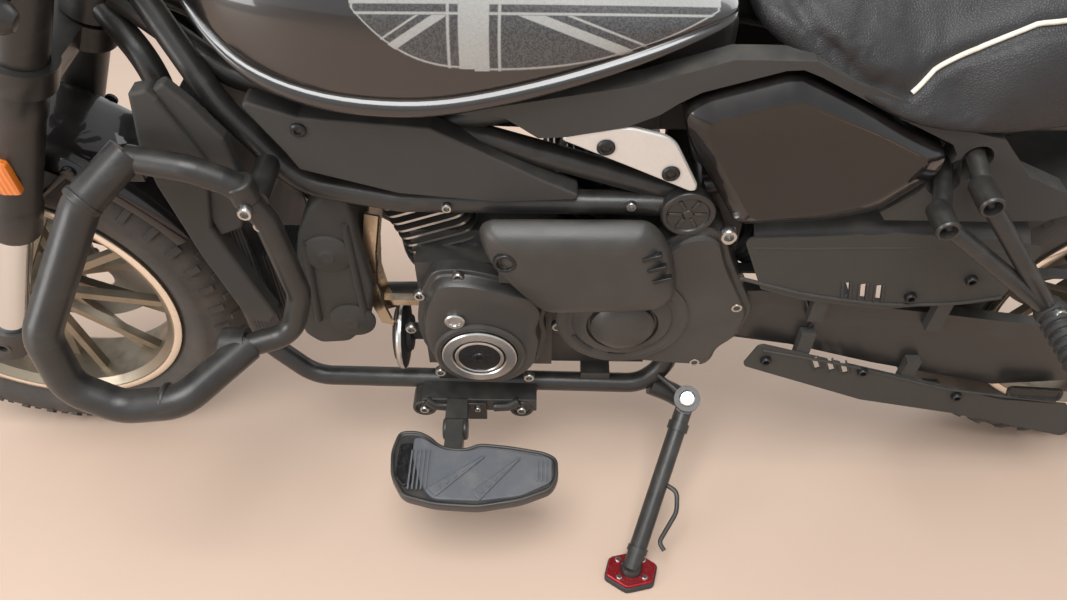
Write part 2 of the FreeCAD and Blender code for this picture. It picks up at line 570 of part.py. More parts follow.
# Body panels drawn from the side
frame_cover = side_panel("frame_cover_panel", (950, 610), [
    (146, 78), (88, 56), (-42, 44), (-152, -20), (-206, -48), (-108, -54), (0, -42), (100, -10), (111, 14)],
    120, "frame_cover_depth", 5, 3)
body_cover = side_panel("body_cover_panel", (520, 640), [
    (359, 36), (314, 33), (280, 8), (251, 10), (194, 22), (162, 37), (146, 50), (125, 63), (51, 87), (35, 88),
    (16, 80), (-54, 43), (-132, 4), (-140, -8), (-137, -30), (-116, -61), (-87, -87), (-95, -98), (-145, -98),
    (-201, -99), (-268, -97), (-289, -88), (-276, -60), (-224, -36), (-198, -8), (-182, 10), (-135, 22),
    (-106, 38), (-73, 53), (-19, 74), (25, 97), (77, 98), (100, 98), (180, 71), (320, 45)],
    S["body_cover_outer"], "body_cover_depth")
stay_slot = fuse("stay_slot", [between("stay_hole", start, end, "cup_radius - 1") for start, end in (
    ((370, 90, 602), (392, 170, 585)), ((364, 90, 618), (376, 170, 601)), ((357, 90, 634), (359, 170, 616)))])
body_cover_left = cut("body_cover_left", body_cover, stay_slot)
cover_pairs = group("cover_pairs", [frame_cover, mirrored(frame_cover), body_cover_left, mirrored(body_cover_left)])
frame_covers = node("frame_covers", cut("frame_covers", cover_pairs, frame))
side_cover = side_panel("side_cover", (520, 620), [
    (138, 64), (126, 76), (48, 92), (32, 91), (-125, 18), (-131, 0), (-103, -46), (-52, -67), (62, -79),
    (82, -58), (131, 32)], 99.3 + S["side_cover_depth"], "side_cover_depth", 4, 10)
side_covers = node("side_covers", group("side_covers", [side_cover, mirrored(side_cover)]))
side_plate = side_panel("side_plate_panel", (690, 610), [(86, 22), (76, 28), (-10, 36), (-22, 30), (-62, -34),
                                                         (-56, -42)], 124, "side_plate_wall", 3)
plate_boss = cylinder("side_plate_boss", (700, 100, 590), LEFT, 9, 20)
side_plate_left = fuse("side_plate_left", [side_plate, plate_boss])
node("side_plates", cut("side_plates", group("side_plate_pair", [side_plate_left, mirrored(side_plate_left)]),
                        frame))

# Seat: rider's dip and passenger's rise
seat_shape = loft("seat_pad", [
    (606, 84, 752, 776), (540, 122, 716, 772), (420, 144, 652, 742), (300, 140, 646, 768),
    (180, 116, 654, 788), (70, 84, 664, 776)])
node("seat", cut("seat", cut("seat_on_rails", seat_shape, frame), group("seat_neighbours", [
    side_covers, body_cover_left, mirrored(body_cover_left)])))

# Rear mudguard with its plate carrier and struts
guard_inner = S["rear_tyre_radius"] + S["rear_fender_gap"]
rear_arch = arch("rear_arch", REAR_AXLE, guard_inner, S["fender_wall"], S["rear_fender_half"], 34, -70, 135)
struts = [between("fender_strut", (x, y, low), (x, y, high), 9)
          for x, low, high in ((150, 600, 652), (60, 632, 657)) for y in (81, -81)]
carrier = [box("plate_arm", (-352, -18, 424), 44, 36, 8), box("plate_holder", (-356, -92, 320), 5, 184, 116)]
rear_fender = node("rear_fender", cut("rear_fender", fuse("rear_fender_shell", [rear_arch] + struts + carrier),
                                      frame))
lamp = cylinder("tail_lamp_body", (-150, 0, 562), (-1, 0, 0), 34, 128)
lamp_room = cylinder("tail_lamp_room", (0, -60, 0), LEFT, "rear_tyre_radius + rear_fender_gap + fender_wall",
                     120, REAR_AXLE)
node("tail_lamp", cut("tail_lamp", lamp, lamp_room))
stalk = cylinder("rear_indicator_stalk", (-232, 92, 520), LEFT, 6, 32)
bullet = cylinder("rear_indicator_body", (-210, 136, 520), (-1, 0, 0), "indicator_radius", 48)
rear_indicator = fuse("rear_indicator", [stalk, bullet])
node("rear_indicators", cut("rear_indicators", group("rear_indicator_pair", [
    rear_indicator, mirrored(rear_indicator)]), rear_fender))

# Swingarm, axle and rear brake
arm = side_panel("arm", (300, 310), [
    (310, 98), (230, 104), (154, 86), (26, 68), (-140, 42), (-262, 44), (-340, 24), (-346, -30), (-262, -64),
    (-120, -80), (60, -34), (180, 4), (262, 24), (312, 34)], S["arm_inner"] + S["arm_wall"], "arm_wall", 12)
arm_pieces = [arm, mirrored(arm)]
arm_pieces.append(box("arm_cross", (395, -S["arm_inner"], 306), 50, "2 * arm_inner", 46))
for side in (1, -1):
    y = S["plate_outer"] * side
    arm_pieces.append(cylinder("arm_boss", (590, y, 366), (0, side, 0), 21, "arm_inner - plate_outer"))
arm_pieces.append(cylinder("rear_axle", (0, -126, 0), LEFT, "rear_axle_radius", 252, REAR_AXLE))
for side in (1, -1):
    y = side * (S["arm_inner"] + S["arm_wall"])
    arm_pieces.append(cylinder("axle_nut", (0, y, 0), (0, side, 0), 19, 9, REAR_AXLE))
slot_inner = S["rear_disc_place"] - S["disc_clearance"]
caliper = box("rear_caliper", (16, -92, 84), 74, 44, 62, REAR_AXLE)
caliper_arm = box("rear_caliper_arm", (26, -S["arm_inner"], 20), 50, 10, 90, REAR_AXLE)
caliper_slot = cylinder("rear_caliper_slot", (0, -slot_inner - 15, 0), LEFT, "rear_disc_radius + disc_clearance",
                        "disc_wall + 2 * disc_clearance", REAR_AXLE)
arm_welded = cut("arm_welded", fuse("arm_pieces", arm_pieces + [cut("rear_caliper_cut", caliper, caliper_slot),
                                                                caliper_arm]),
                 cylinder("rear_axle_hole", (0, -130, 0), LEFT, "axle_bore_radius", 260, REAR_AXLE))
swingarm = node("swingarm", arm_welded)


def belt_loop(name, grow):
    """The belt's outline: two pulley circles and the tangent runs between them."""
    rear = V(0, 0, S["rear_tyre_radius"])
    front = V(704, 0, 379)
    big = S["rear_pulley_radius"] + grow
    small = S["engine_pulley_radius"] + grow
    along = front - rear
    slope = math.atan2(along.z, along.x)
    open_angle = math.acos((big - small) / along.Length)
    edges = []
    points = []
    for centre, radius in ((rear, big), (front, small)):
        for side in (1, -1):
            angle = slope + side * open_angle
            points.append(centre + V(radius * math.cos(angle), 0, radius * math.sin(angle)))
    back = rear - V(math.cos(slope), 0, math.sin(slope)) * big
    nose = front + V(math.cos(slope), 0, math.sin(slope)) * small
    edges.append(Part.Arc(points[0], back, points[1]).toShape())
    edges.append(Part.LineSegment(points[1], points[3]).toShape())
    edges.append(Part.Arc(points[3], nose, points[2]).toShape())
    edges.append(Part.LineSegment(points[2], points[0]).toShape())
    face = Part.Face(Part.Wire(edges))
    face.translate(V(0, S["belt_inner"], 0))
    thing = doc.addObject("Part::Feature", name)
    thing.Shape = face.extrude(V(0, S["belt_width"], 0))
    thing.Placement = PARK
    return thing


belt_gap = 0.5
node("belt", cut("belt", belt_loop("belt_outside", belt_gap + S["belt_wall"]), belt_loop("belt_inside", belt_gap)))
upper_guard = side_panel("upper_guard", (400, 460), [
    (172, 56), (0, 65), (-108, 59), (-163, 44), (-148, -40), (-13, -60), (87, -44), (138, -26)],
    S["guard_outer"], "guard_wall", 8)
lower_guard = side_panel("lower_guard", (300, 240), [
    (233, 46), (218, 90), (-132, -24), (-227, -34), (-266, -116), (-91, -61), (58, -28)],
    S["guard_outer"], "guard_wall", 8)
arm_face = S["arm_inner"] + S["arm_wall"]
guard_legs = [box("guard_leg", (x, arm_face, z), 18, "guard_outer - guard_wall - arm_inner - arm_wall", 60)
              for x, z in ((300, 356), (450, 372), (300, 232), (450, 286))]
guard_face = S["guard_outer"] - S["guard_wall"] - 1
upper_open = cut("upper_guard_open", upper_guard, vents("upper_vent", [
    (437, 432, 30, 12), (417, 430, 30, 12), (398, 428, 30, 12)], guard_face, "guard_wall + 2"))
lower_open = cut("lower_guard_open", lower_guard, vents("lower_vent", [
    (438, 292, 26, 24), (418, 288, 26, 24), (399, 283, 26, 24)], guard_face, "guard_wall + 2"))
upper = fuse("upper_belt_guard", [upper_open] + guard_legs[:2])
lower = fuse("lower_belt_guard", [lower_open] + guard_legs[2:])
node("belt_guards", group("belt_guards", [upper, lower]))
shock_body = between("shock_body", (592, 0, 520), (470, 0, 392), "shock_radius")
shock_rod = between("shock_rod", (614, 0, 543), (418, 0, 338), "shock_rod")
node("shock", cut("shock", cut("shock_top", fuse("shock_whole", [shock_body, shock_rod]), frame), swingarm))

# Exhaust on the right: columns are the points of each pipe
front_pipe = tube("front_pipe", [(985, -8, 566), (1048, -20, 540), (1078, -84, 470), (1062, -150, 330),
                                 (960, -160, 243), (540, -168, 258)], "pipe_radius", 45)
rear_pipe = tube("rear_pipe", [(712, -8, 524), (672, -40, 504), (664, -124, 492), (646, -168, 410),
                               (540, -172, 356)], "pipe_radius", 40)
pipes = node("exhaust_pipes", group("pipe_pair", [
    cut("front_exhaust", front_pipe, rooms[0]), cut("rear_exhaust", rear_pipe, rooms[1])]))
mufflers = [cylinder("muffler", start, way, "muffler_radius", "muffler_length")
            for start, way in (((545, -168, 258), (-1, -0.03, 0.05)), ((545, -172, 354), (-1, -0.03, 0.06)))]
node("mufflers", cut("mufflers", group("muffler_pair", mufflers), pipes))

# Footboards and their brackets
board = flat_panel("board", (880, 250), [
    (105, -50), (75, -58), (45, -42), (-2, -40), (-105, -28), (-108, 18), (-90, 34), (-10, 52), (45, 50),
    (90, 32), (108, -5)], S["board_top"], "board_wall", 8)
bracket = box("board_bracket", (802, 92, 172), 160, 36, 26)
arm_out = box("board_arm", (885, 120, 176), 58, 110, 24)
board_left = fuse("board_left", [board, bracket, arm_out])
pedal = tube("brake_pedal", [(962, -112, 184), (1010, -150, 200), (1030, -215, 250)], 7, 20)
boards = cut("boards_on_frame", fuse("footboard_pair", [board_left, mirrored(board_left), pedal]), frame)
node("footboards", cut("footboards", boards, crankcase))

# Passenger pegs on two stays a side
peg_at = (243, 195, 474)
peg_pieces = [
    tube("peg_stay_front", [(372, 92, 600), (392, 172, 584), peg_at], "strut_tube", 20),
    tube("peg_stay_rear", [(358, 92, 634), (360, 172, 616), peg_at], "strut_tube", 20),
    between("passenger_peg", peg_at, (228, 292, 462), "peg_radius"),
    cylinder("peg_cup_front", (390, 150, 586), LEFT, "cup_radius", 38),
    cylinder("peg_cup_rear", (360, 150, 618), LEFT, "cup_radius", 38)]
pegs_left = fuse("pegs_left", peg_pieces)
node("peg_stays", cut("peg_stays", group("peg_pair", [pegs_left, mirrored(pegs_left)]), frame))

# Crash bars
bar_end = (1135, 200, 405)
crash_pieces = [
    tube("crash_front", [(1205, 150, 645), (1246, 192, 616), (1310, 262, 497), (1303, 278, 428),
                         (1256, 281, 396), (1192, 276, 399), bar_end], "crash_tube", 42),
    tube("crash_rear", [bar_end, (1088, 178, 401), (1072, 163, 455), (1086, 155, 560), (1106, 157, 612),
                        (1145, 158, 632), (1206, 152, 640)], "crash_stay_tube", 32),
    cylinder("crash_clamp", (1090, 78, 590), LEFT, 13, 78),
    cylinder("crash_joint", (1135, 200, 405), (1, 0, 0), 21, 24)]
crash_left = fuse("crash_left", crash_pieces)
node("crash_bars", cut("crash_bars", group("crash_pair", [crash_left, mirrored(crash_left)]), frame))

# Side stand
eye = cylinder("stand_eye", on_pin(-half_eye), tuple(STAND_AXIS), "stand_eye_radius", "stand_eye_depth")
bore = cylinder("stand_bore", on_pin(-half_eye - 1), tuple(STAND_AXIS), "stand_pin_radius + running_gap",
                "stand_eye_depth + 2")
leg_way = (FOOT_AT - STAND_PIVOT).normalize()
leg_start = STAND_PIVOT + leg_way * (S["stand_pin_radius"] + 5)
leg = between("stand_tube_leg", tuple(leg_start), tuple(FOOT_AT), "stand_tube")
leg_cut = cut("leg_cut", leg, cylinder("leg_room", on_pin(-40), tuple(STAND_AXIS), "stand_eye_radius - 6", 80))
ear_room = [cylinder("ear_room", on_pin(across), tuple(STAND_AXIS), "stand_eye_radius + 3", 10)
            for across in (half_eye, -half_eye - 10)]
leg_clear = cut("leg_clear", leg_cut, group("ear_rooms", ear_room))
node("stand_leg", cut("stand_leg", fuse("stand_leg_block", [eye, leg_clear]), bore))
pad = doc.addObject("Part::Cylinder", "stand_pad")
bind(pad, Radius=34, Height="stand_pad_height")
shoe = doc.addObject("Part::Cylinder", "stand_shoe")
bind(shoe, Radius=17, Height="stand_pad_height + 5")
for piece in (pad, shoe):
    piece.Placement = turned(foot_floor.x, foot_floor.y, 0)
node("stand_foot", cut("stand_foot", fuse("stand_foot_block", [pad, shoe]), nodes[-1]))

# Fork, clamps and bars in the steering frame
OFFSET = S["fork_offset"]
SPREAD = S["leg_spread"]
lower_at = S["head_low"] - S["clamp_gap"] - S["clamp_depth"]
upper_at = S["head_high"] + S["clamp_gap"]
clamp_pieces = [cylinder("stem", (0, 0, lower_at), (0, 0, 1), "stem_radius", upper_at + 5 - lower_at, STEER)]
for name, level in (("lower", lower_at), ("upper", upper_at)):
    for side in (1, -1):
        clamp_pieces.append(cylinder(name + "_clamp_eye", (OFFSET, side * SPREAD, level), (0, 0, 1),
                                     "fork_tube_radius + clamp_wall", "clamp_depth", STEER))
    clamp_pieces.append(box(name + "_bridge", (-2, -SPREAD, level), 46, "2 * leg_spread", "clamp_depth", STEER))
    clamp_pieces.append(cylinder(name + "_boss", (0, 0, level), (0, 0, 1), "head_radius", "clamp_depth", STEER))
clamp_bores = [cylinder("clamp_bore", (OFFSET, side * SPREAD, lower_at - 1), (0, 0, 1),
                        "fork_tube_radius + seat_gap", upper_at - lower_at + 50, STEER) for side in (1, -1)]
clamps = node("fork_clamps", cut("fork_clamps", fuse("clamp_block", clamp_pieces), group("clamp_bores",
                                                                                         clamp_bores)))
tubes = []
stanchions = []
feet = []
for side in (1, -1):
    y = side * SPREAD
    outer = cylinder("fork_tube", (OFFSET, y, S["fork_tube_low"]), (0, 0, 1), "fork_tube_radius",
                     "fork_tube_high - fork_tube_low", STEER)
    top = cylinder("fork_cap", (OFFSET, y, S["fork_tube_high"]), (0, 0, 1), 19, 10, STEER)
    tubes.append(fuse("fork_leg", [outer, top]))
    stanchions.append(cylinder("stanchion", (OFFSET, y, S["foot_top"] + S["seat_gap"]), (0, 0, 1),
                               "stanchion_radius", "fork_tube_low - foot_top - 2 * seat_gap", STEER))
    feet.append(cylinder("fork_foot", (OFFSET, y, -24), (0, 0, 1), "foot_radius", "foot_top + 24", STEER))
fork_tubes = node("fork_tubes", group("fork_tubes", tubes))
node("stanchions", group("stanchions", stanchions))
feet.append(cylinder("front_axle", (0, -126, 0), LEFT, "front_axle_radius", 252, FRONT_AXLE))
feet.append(cylinder("axle_spacer", (0, 66, 0), LEFT, 16, 20, FRONT_AXLE))
feet.append(cylinder("axle_spacer", (0, -86, 0), LEFT, 16, 13, FRONT_AXLE))
brake = box("front_caliper", (OFFSET - 130, -86, 52), 66, 36, 66, STEER)
brake_slot = cylinder("front_caliper_slot", (OFFSET, -S["front_disc_place"] + S["disc_clearance"], 0), RIGHT,
                      "front_disc_radius + disc_clearance", "disc_wall + 2 * disc_clearance", STEER)
feet.append(cut("front_caliper_cut", brake, brake_slot))
feet.append(box("front_caliper_arm", (OFFSET - 84, -96, 6), 84, 10, 100, STEER))
foot_block = fuse("fork_feet_block", feet)
axle_hole = cylinder("front_axle_hole", (0, -130, 0), LEFT, "axle_bore_radius", 260, FRONT_AXLE)
node("fork_feet", cut("fork_feet", cut("fork_feet_bored", foot_block, axle_hole), group(
    "stanchion_tools", stanchions)))
front_arch = arch("front_arch", FRONT_AXLE, S["front_tyre_radius"] + S["fender_gap"], S["fender_wall"],
                  S["front_fender_half"], 26, -62, 110)
fender_bosses = [cylinder("fender_boss", (OFFSET, side * (S["front_fender_half"] - 3), 300), (0, side, 0), 12, 14,
                          STEER) for side in (1, -1)]
node("front_fender", cut("front_fender", fuse("front_fender_shell", [front_arch] + fender_bosses), fork_tubes))

lamp_at = steer_point(142, 0, 504)
bucket = cylinder("headlight_bucket", (lamp_at[0] - 45, 0, lamp_at[2]), (1, 0, 0), "headlight_radius",
                  "headlight_depth")
lamp_arm = box("headlight_arm", (40, -24, lower_at + 4), 66, 48, 20, STEER)
node("headlight", cut("headlight", fuse("headlight_block", [bucket, lamp_arm]), clamps))
stub = cylinder("front_indicator_stub", (OFFSET, SPREAD + 20, 560), LEFT, 6, 30, STEER)
lens = cylinder("front_indicator_body", (OFFSET - 22, SPREAD + 62, 560), (1, 0, 0), "indicator_radius", 48, STEER)
front_indicator = fuse("front_indicator", [stub, lens])
node("front_indicators", cut("front_indicators", group("front_indicator_pair", [
    front_indicator, mirrored(front_indicator)]), fork_tubes))

bar_middle = steer_point(0, 0, S["bar_rise"])
bar_x = bar_middle[0]
bar_z = bar_middle[2]
bar_half = [(bar_x, 112, bar_z), (bar_x - 38, 236, bar_z + 78), (bar_x - 126, 418, bar_z + 84)]
bar_points = list(reversed(bar_half)) + [(x, -y, z) for x, y, z in bar_half]
bar = tube("bar", bar_points, "bar_radius", 60)
risers = [cylinder("riser", (0, side * S["riser_spread"], upper_at + S["clamp_depth"]), (0, 0, 1), "riser_radius",
                   "bar_rise - head_high - clamp_gap - clamp_depth + 14", STEER) for side in (1, -1)]
handlebar = node("handlebar", fuse("handlebar", [bar] + risers))
bar_end_left = V(*bar_half[2])
bar_way = (V(*bar_half[1]) - bar_end_left).normalize()


def along_bar(distance, ahead=0, up=0):
    """A point by the left grip, from the bar's end inwards."""
    point = bar_end_left + bar_way * distance + V(ahead, 0, up)
    return point.x, point.y, point.z


grip = cylinder("grip", along_bar(-2), tuple(bar_way), "grip_radius", "grip_length")
housing = cylinder("switch_housing", along_bar(S["grip_length"] - 2), tuple(bar_way), "housing_radius", 46)
lever = tube("lever", [along_bar(S["grip_length"] + 22, 10, 0), along_bar(S["grip_length"] + 16, 52, -4),
                       along_bar(6, 62, -8)], 6, 24)
controls = fuse("controls_left", [grip, housing, lever])
grips = node("grips", cut("grips", group("controls_pair", [controls, mirrored(controls)]), handlebar))
stem_low = along_bar(S["grip_length"] + 24, 0, 12)
glass_at = (stem_low[0] + 18, stem_low[1] + 26, stem_low[2] + 128)
mirror_stem = tube("mirror_stem", [stem_low, (stem_low[0] + 6, stem_low[1] - 4, stem_low[2] + 50), glass_at], 5, 30)
mirror_head = cylinder("mirror_head", (glass_at[0] - 8, glass_at[1], glass_at[2]), (1, 0.08, 0), "mirror_radius", 16)
mirror = cut("mirror_left", fuse("mirror_whole", [mirror_stem, mirror_head]), controls)
node("mirrors", cut("mirrors", group("mirror_pair", [mirror, mirrored(mirror)]), handlebar))
gauge = cylinder("gauge", (64, 0, 696), (0, 0, 1), "gauge_radius", 30, STEER)
gauge_arm = box("gauge_arm", (30, -14, upper_at + S["clamp_depth"]), 14, 28, 696 - upper_at, STEER)
node("instrument", fuse("instrument", [gauge, gauge_arm]))

doc.recompute()
bad = [thing.Name for thing in doc.Objects if "Invalid" in thing.State or "Error" in thing.State]
if bad:
    raise RuntimeError("failed objects: " + ", ".join(bad))
os.makedirs("parts", exist_ok=True)
for thing in nodes:
    shape = thing.Shape
    if shape.isNull() or not shape.isValid() or not shape.Solids:
        raise RuntimeError("bad shape: " + thing.Label)
for thing in nodes:
    thing.Shape.exportStep("parts/%s.step" % thing.Label)
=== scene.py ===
import math
import bmesh
import bpy
from mathutils import Matrix, Vector
from mathutils.bvhtree import BVHTree


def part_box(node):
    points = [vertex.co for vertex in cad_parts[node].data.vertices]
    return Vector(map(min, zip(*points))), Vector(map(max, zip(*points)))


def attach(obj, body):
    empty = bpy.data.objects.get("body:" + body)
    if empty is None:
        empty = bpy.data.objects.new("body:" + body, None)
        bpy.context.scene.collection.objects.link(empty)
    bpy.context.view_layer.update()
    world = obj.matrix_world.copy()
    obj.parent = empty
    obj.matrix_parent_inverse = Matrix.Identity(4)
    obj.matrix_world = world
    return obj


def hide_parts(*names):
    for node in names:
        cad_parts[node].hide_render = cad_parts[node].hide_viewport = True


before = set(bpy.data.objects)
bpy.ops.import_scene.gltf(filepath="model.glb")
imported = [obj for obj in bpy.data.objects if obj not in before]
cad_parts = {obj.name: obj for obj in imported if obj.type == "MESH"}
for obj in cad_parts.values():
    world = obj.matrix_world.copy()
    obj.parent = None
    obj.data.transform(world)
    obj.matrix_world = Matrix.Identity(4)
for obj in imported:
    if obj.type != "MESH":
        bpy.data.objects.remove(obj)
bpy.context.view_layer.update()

bl_info = {"name": "Cruiser motorcycle looks", "version": (1, 0, 0), "blender": (4, 5, 0),
    "location": "View3D > Sidebar > Motorcycle", "category": "Object",
    "description": "Gives a parked cruiser motorcycle its finished surfaces, seat, trim and fasteners"}

# The bike is described upright in millimetres: +X forward, +Y to the rider's left, +Z up, with the
# origin on the ground under the rear axle. PARK leans it onto its side stand, in metres.
WHEELBASE = 1505.0
LEAN = math.radians(10.533)
FRONT_TYRE = (298.0, 61.0)
REAR_TYRE = (310.0, 73.0)


# The rider's left, and both sides as signs of Y
LEFT = (0, 1, 0)
SIDES = (1, -1)


def leaned_drop(radius, half):
    """How far a leaned tyre is set down to meet the floor."""
    return radius * math.cos(LEAN) - (radius - half) * math.cos(LEAN) - half


PITCH = math.atan2(leaned_drop(*REAR_TYRE) - leaned_drop(*FRONT_TYRE), WHEELBASE)
PARK = (Matrix.Scale(0.001, 4) @ Matrix.Translation((-723.5, -172.0, -leaned_drop(*REAR_TYRE))) @
    Matrix.Rotation(-PITCH, 4, "Y") @ Matrix.Rotation(-LEAN, 4, "X"))
RAKE = math.radians(26.0)
FORK_OFFSET = 30
STEER = (Matrix.Translation((WHEELBASE - FORK_OFFSET * math.cos(RAKE), 0,
    FRONT_TYRE[0] - FORK_OFFSET * math.sin(RAKE))) @ Matrix.Rotation(-RAKE, 4, "Y"))
FRONT_AXLE = Matrix.Translation((WHEELBASE, 0, FRONT_TYRE[0]))
REAR_AXLE = Matrix.Translation((0, 0, REAR_TYRE[0]))


def colour(name, description, code):
    """A colour that is set as an sRGB hex code."""
    return bpy.props.StringProperty(name=name, description=description + ", sRGB hex", default=code)


def length(name, description, metres, least):
    """A length in metres with its least value."""
    return bpy.props.FloatProperty(name=name, description=description, default=metres, min=least, unit="LENGTH")


class MotorcycleColours(bpy.types.PropertyGroup):
    """Colours that a painter would choose."""
    paint: colour("Paint", "Gloss enamel of tank and covers", "#0C0A0A")
    powder: colour("Powder coat", "Satin black of tubes and brackets", "#252423")
    casing: colour("Engine coat", "Satin black of the engine covers", "#2E2D2C")
    moulding: colour("Moulding", "Grained plastic of covers and guards", "#2F2E2C")
    wheels: colour("Wheels", "Champagne lacquer of the cast wheels", "#938979")
    leather: colour("Saddle cover", "Leather of the saddle", "#1B1B1D")
    piping: colour("Piping", "Welt sewn into the saddle", "#D8D2C4")
    foot_plate: colour("Foot plate", "Anodised plate under the stand", "#A8202A")


class MotorcycleSizes(bpy.types.PropertyGroup):
    """Sizes of the trim, in metres."""
    swell: length("Saddle swell", "How far the foam may push the cover out", 0.024, 0.0)
    voxel: length("Saddle mesh", "Mesh size of the saddle's cover", 0.006, 0.003)
    piping: length("Piping radius", "Radius of the welt along the saddle", 0.0026, 0.001)
    fin_pitch: length("Fin pitch", "Distance between cooling fins", 0.0125, 0.004)
    rib_pitch: length("Mat rib pitch", "Distance between the ribs of a foot mat", 0.0055, 0.003)


def add(tree, kind, inputs=(), **settings):
    """Adds a node of a kind with its settings, and its inputs as values or as sockets to link."""
    made = tree.nodes.new(kind)
    for name, value in settings.items():
        setattr(made, name, value)
    for key, value in dict(inputs).items():
        if isinstance(value, bpy.types.NodeSocket):
            tree.links.new(value, made.inputs[key])
        else:
            made.inputs[key].default_value = value
    return made


def maths(tree, kind, *values):
    """The result of a sum on values or sockets."""
    return add(tree, "ShaderNodeMath", dict(enumerate(values)), operation=kind).outputs[0]


def between(tree, share, low, high):
    """A value part of the way between two others."""
    return add(tree, "ShaderNodeMix", {0: share, 2: low, 3: high}, data_type="FLOAT").outputs[0]


def mixed(tree, share, under, over):
    """A colour part of the way between two others."""
    return add(tree, "ShaderNodeMix", {0: share, 6: under, 7: over}, data_type="RGBA").outputs[2]


def ranged(tree, value, low, high, most=1.0):
    """Nothing at a low value, rising to the most at a high one."""
    return add(tree, "ShaderNodeMapRange", {"Value": value, "From Min": low, "From Max": high,
        "To Max": most}).outputs[0]


def linear(code):
    """An sRGB hex colour as linear values."""
    parts = [int(code[i:i + 2], 16) / 255 for i in (1, 3, 5)]
    return [c / 12.92 if c <= 0.04045 else ((c + 0.055) / 1.055) ** 2.4 for c in parts] + [1.0]


# Colour of dust on upward faces, and what a layer holds where it names no more
DUST = "#6E675C"
PLAIN_LAYER = ("noise", 1, 0.0, 1.0, None, 0.0, 0.0, 0.0, (1, 1, 1))


def placed(name, data):
    """An object of the scene from its data."""
    made = bpy.data.objects.new(name, data)
    bpy.context.scene.collection.objects.link(made)
    return made


def smoothed(mesh, kinds):
    """Gives a mesh smooth faces and its finishes."""
    made = finishes()
    for face in mesh.polygons:
        face.use_smooth = True
    for kind in kinds.split():
        mesh.materials.append(made[kind])


def finish(name, code, roughness, metallic=0.0, layers=(), dust=0.0, **sockets):
    """A surface from a base colour and layers: pattern, size mm, low, high, tint, amount, roughness, bump mm."""
    made = bpy.data.materials.get(name)
    if made:
        return made
    made = bpy.data.materials.new(name)
    made.use_nodes = True
    tree = made.node_tree
    shader = tree.nodes["Principled BSDF"]
    place = add(tree, "ShaderNodeMapping", {"Vector": add(tree, "ShaderNodeTexCoord").outputs["Object"],
        "Rotation": (LEAN, 0, 0)}).outputs["Vector"]
    shade = add(tree, "ShaderNodeRGB").outputs[0]
    shade.default_value = linear(code)
    rough = maths(tree, "ADD", roughness, 0.0)
    normal = None
    for layer in layers:
        pattern, size, low, high, tint, amount, shift, bump, stretch = layer + PLAIN_LAYER[len(layer):]
        at = add(tree, "ShaderNodeMapping", {"Vector": place, "Scale": stretch}).outputs["Vector"]
        if pattern == "noise":
            value = add(tree, "ShaderNodeTexNoise", {"Vector": at, "Scale": 1000 / size, "Detail": 3.0,
                "Roughness": 0.6}).outputs["Fac"]
        elif pattern == "cells":
            value = add(tree, "ShaderNodeTexVoronoi", {"Vector": at, "Scale": 1000 / size, "Randomness": 0.9},
                feature="DISTANCE_TO_EDGE").outputs["Distance"]
        else:
            value = add(tree, "ShaderNodeTexWave", {"Vector": at, "Scale": 1000 / size / 6.283, "Distortion": 0.6,
                "Detail": 2.0}, bands_direction=pattern).outputs["Fac"]
        share = ranged(tree, value, low, high)
        if tint:
            shade = mixed(tree, maths(tree, "MULTIPLY", share, amount), shade, linear(tint))
        if shift:
            rough = maths(tree, "MULTIPLY_ADD", share, shift, rough)
        if bump:
            inputs = {"Height": share, "Distance": bump * 0.001, "Strength": 1.0}
            if normal:
                inputs["Normal"] = normal
            normal = add(tree, "ShaderNodeBump", inputs).outputs["Normal"]
    if dust:
        up = add(tree, "ShaderNodeSeparateXYZ", {0: add(tree, "ShaderNodeNewGeometry").outputs["Normal"]}).outputs[2]
        lie = ranged(tree, up, -0.1, 0.9)
        grime = add(tree, "ShaderNodeTexNoise", {"Vector": place, "Scale": 45.0, "Detail": 5.0}).outputs["Fac"]
        part = maths(tree, "MULTIPLY", lie, ranged(tree, grime, 0.35, 0.75, dust))
        shade = mixed(tree, part, shade, linear(DUST))
        rough = add(tree, "ShaderNodeMath", {0: part, 1: 0.5, 2: rough}, operation="MULTIPLY_ADD",
            use_clamp=True).outputs[0]
    tree.links.new(shade, shader.inputs["Base Color"])
    tree.links.new(rough, shader.inputs["Roughness"])
    if normal:
        tree.links.new(normal, shader.inputs["Normal"])
    shader.inputs["Metallic"].default_value = metallic
    for key, value in sockets.items():
        shader.inputs[key.replace("_", " ")].default_value = value
    return made


def skin(bm, rings, tag=0, capped=True):
    """A skin over rings of equal count; a ring of one point closes to a pole."""
    made = [[bm.verts.new(Vector(point)) for point in ring] for ring in rings]
    for low, high in zip(made, made[1:]):
        count = max(len(low), len(high))
        for i in range(count):
            j = (i + 1) % count
            corners = [low[i % len(low)], low[j % len(low)], high[j % len(high)], high[i % len(high)]]
            face = bm.faces.new(list(dict.fromkeys(corners)))
            face.material_index = tag
    if capped:
        for ring in (made[0], made[-1]):
            if len(ring) > 2:
                bm.faces.new(ring).material_index = tag
    return made


def lathe(bm, profile, place, steps, tag=0, capped=True):
    """A turned form from (radius, height) pairs about the Z axis of a place."""
    rings = []
    for radius, height in profile:
        count = steps if radius else 1
        rings.append([place @ Vector((radius * math.cos(2 * math.pi * i / count),
            radius * math.sin(2 * math.pi * i / count), height)) for i in range(count)])
    skin(bm, rings, tag, capped)


def ring_body(bm, profile, place, steps):
    """A closed ring from a looped section of (radius, height) pairs about a place's Z axis."""
    rings = [[place @ Vector((radius * math.cos(2 * math.pi * i / steps), radius * math.sin(2 * math.pi * i / steps),
        height)) for i in range(steps)] for radius, height in profile]
    skin(bm, rings + rings[:1], capped=False)


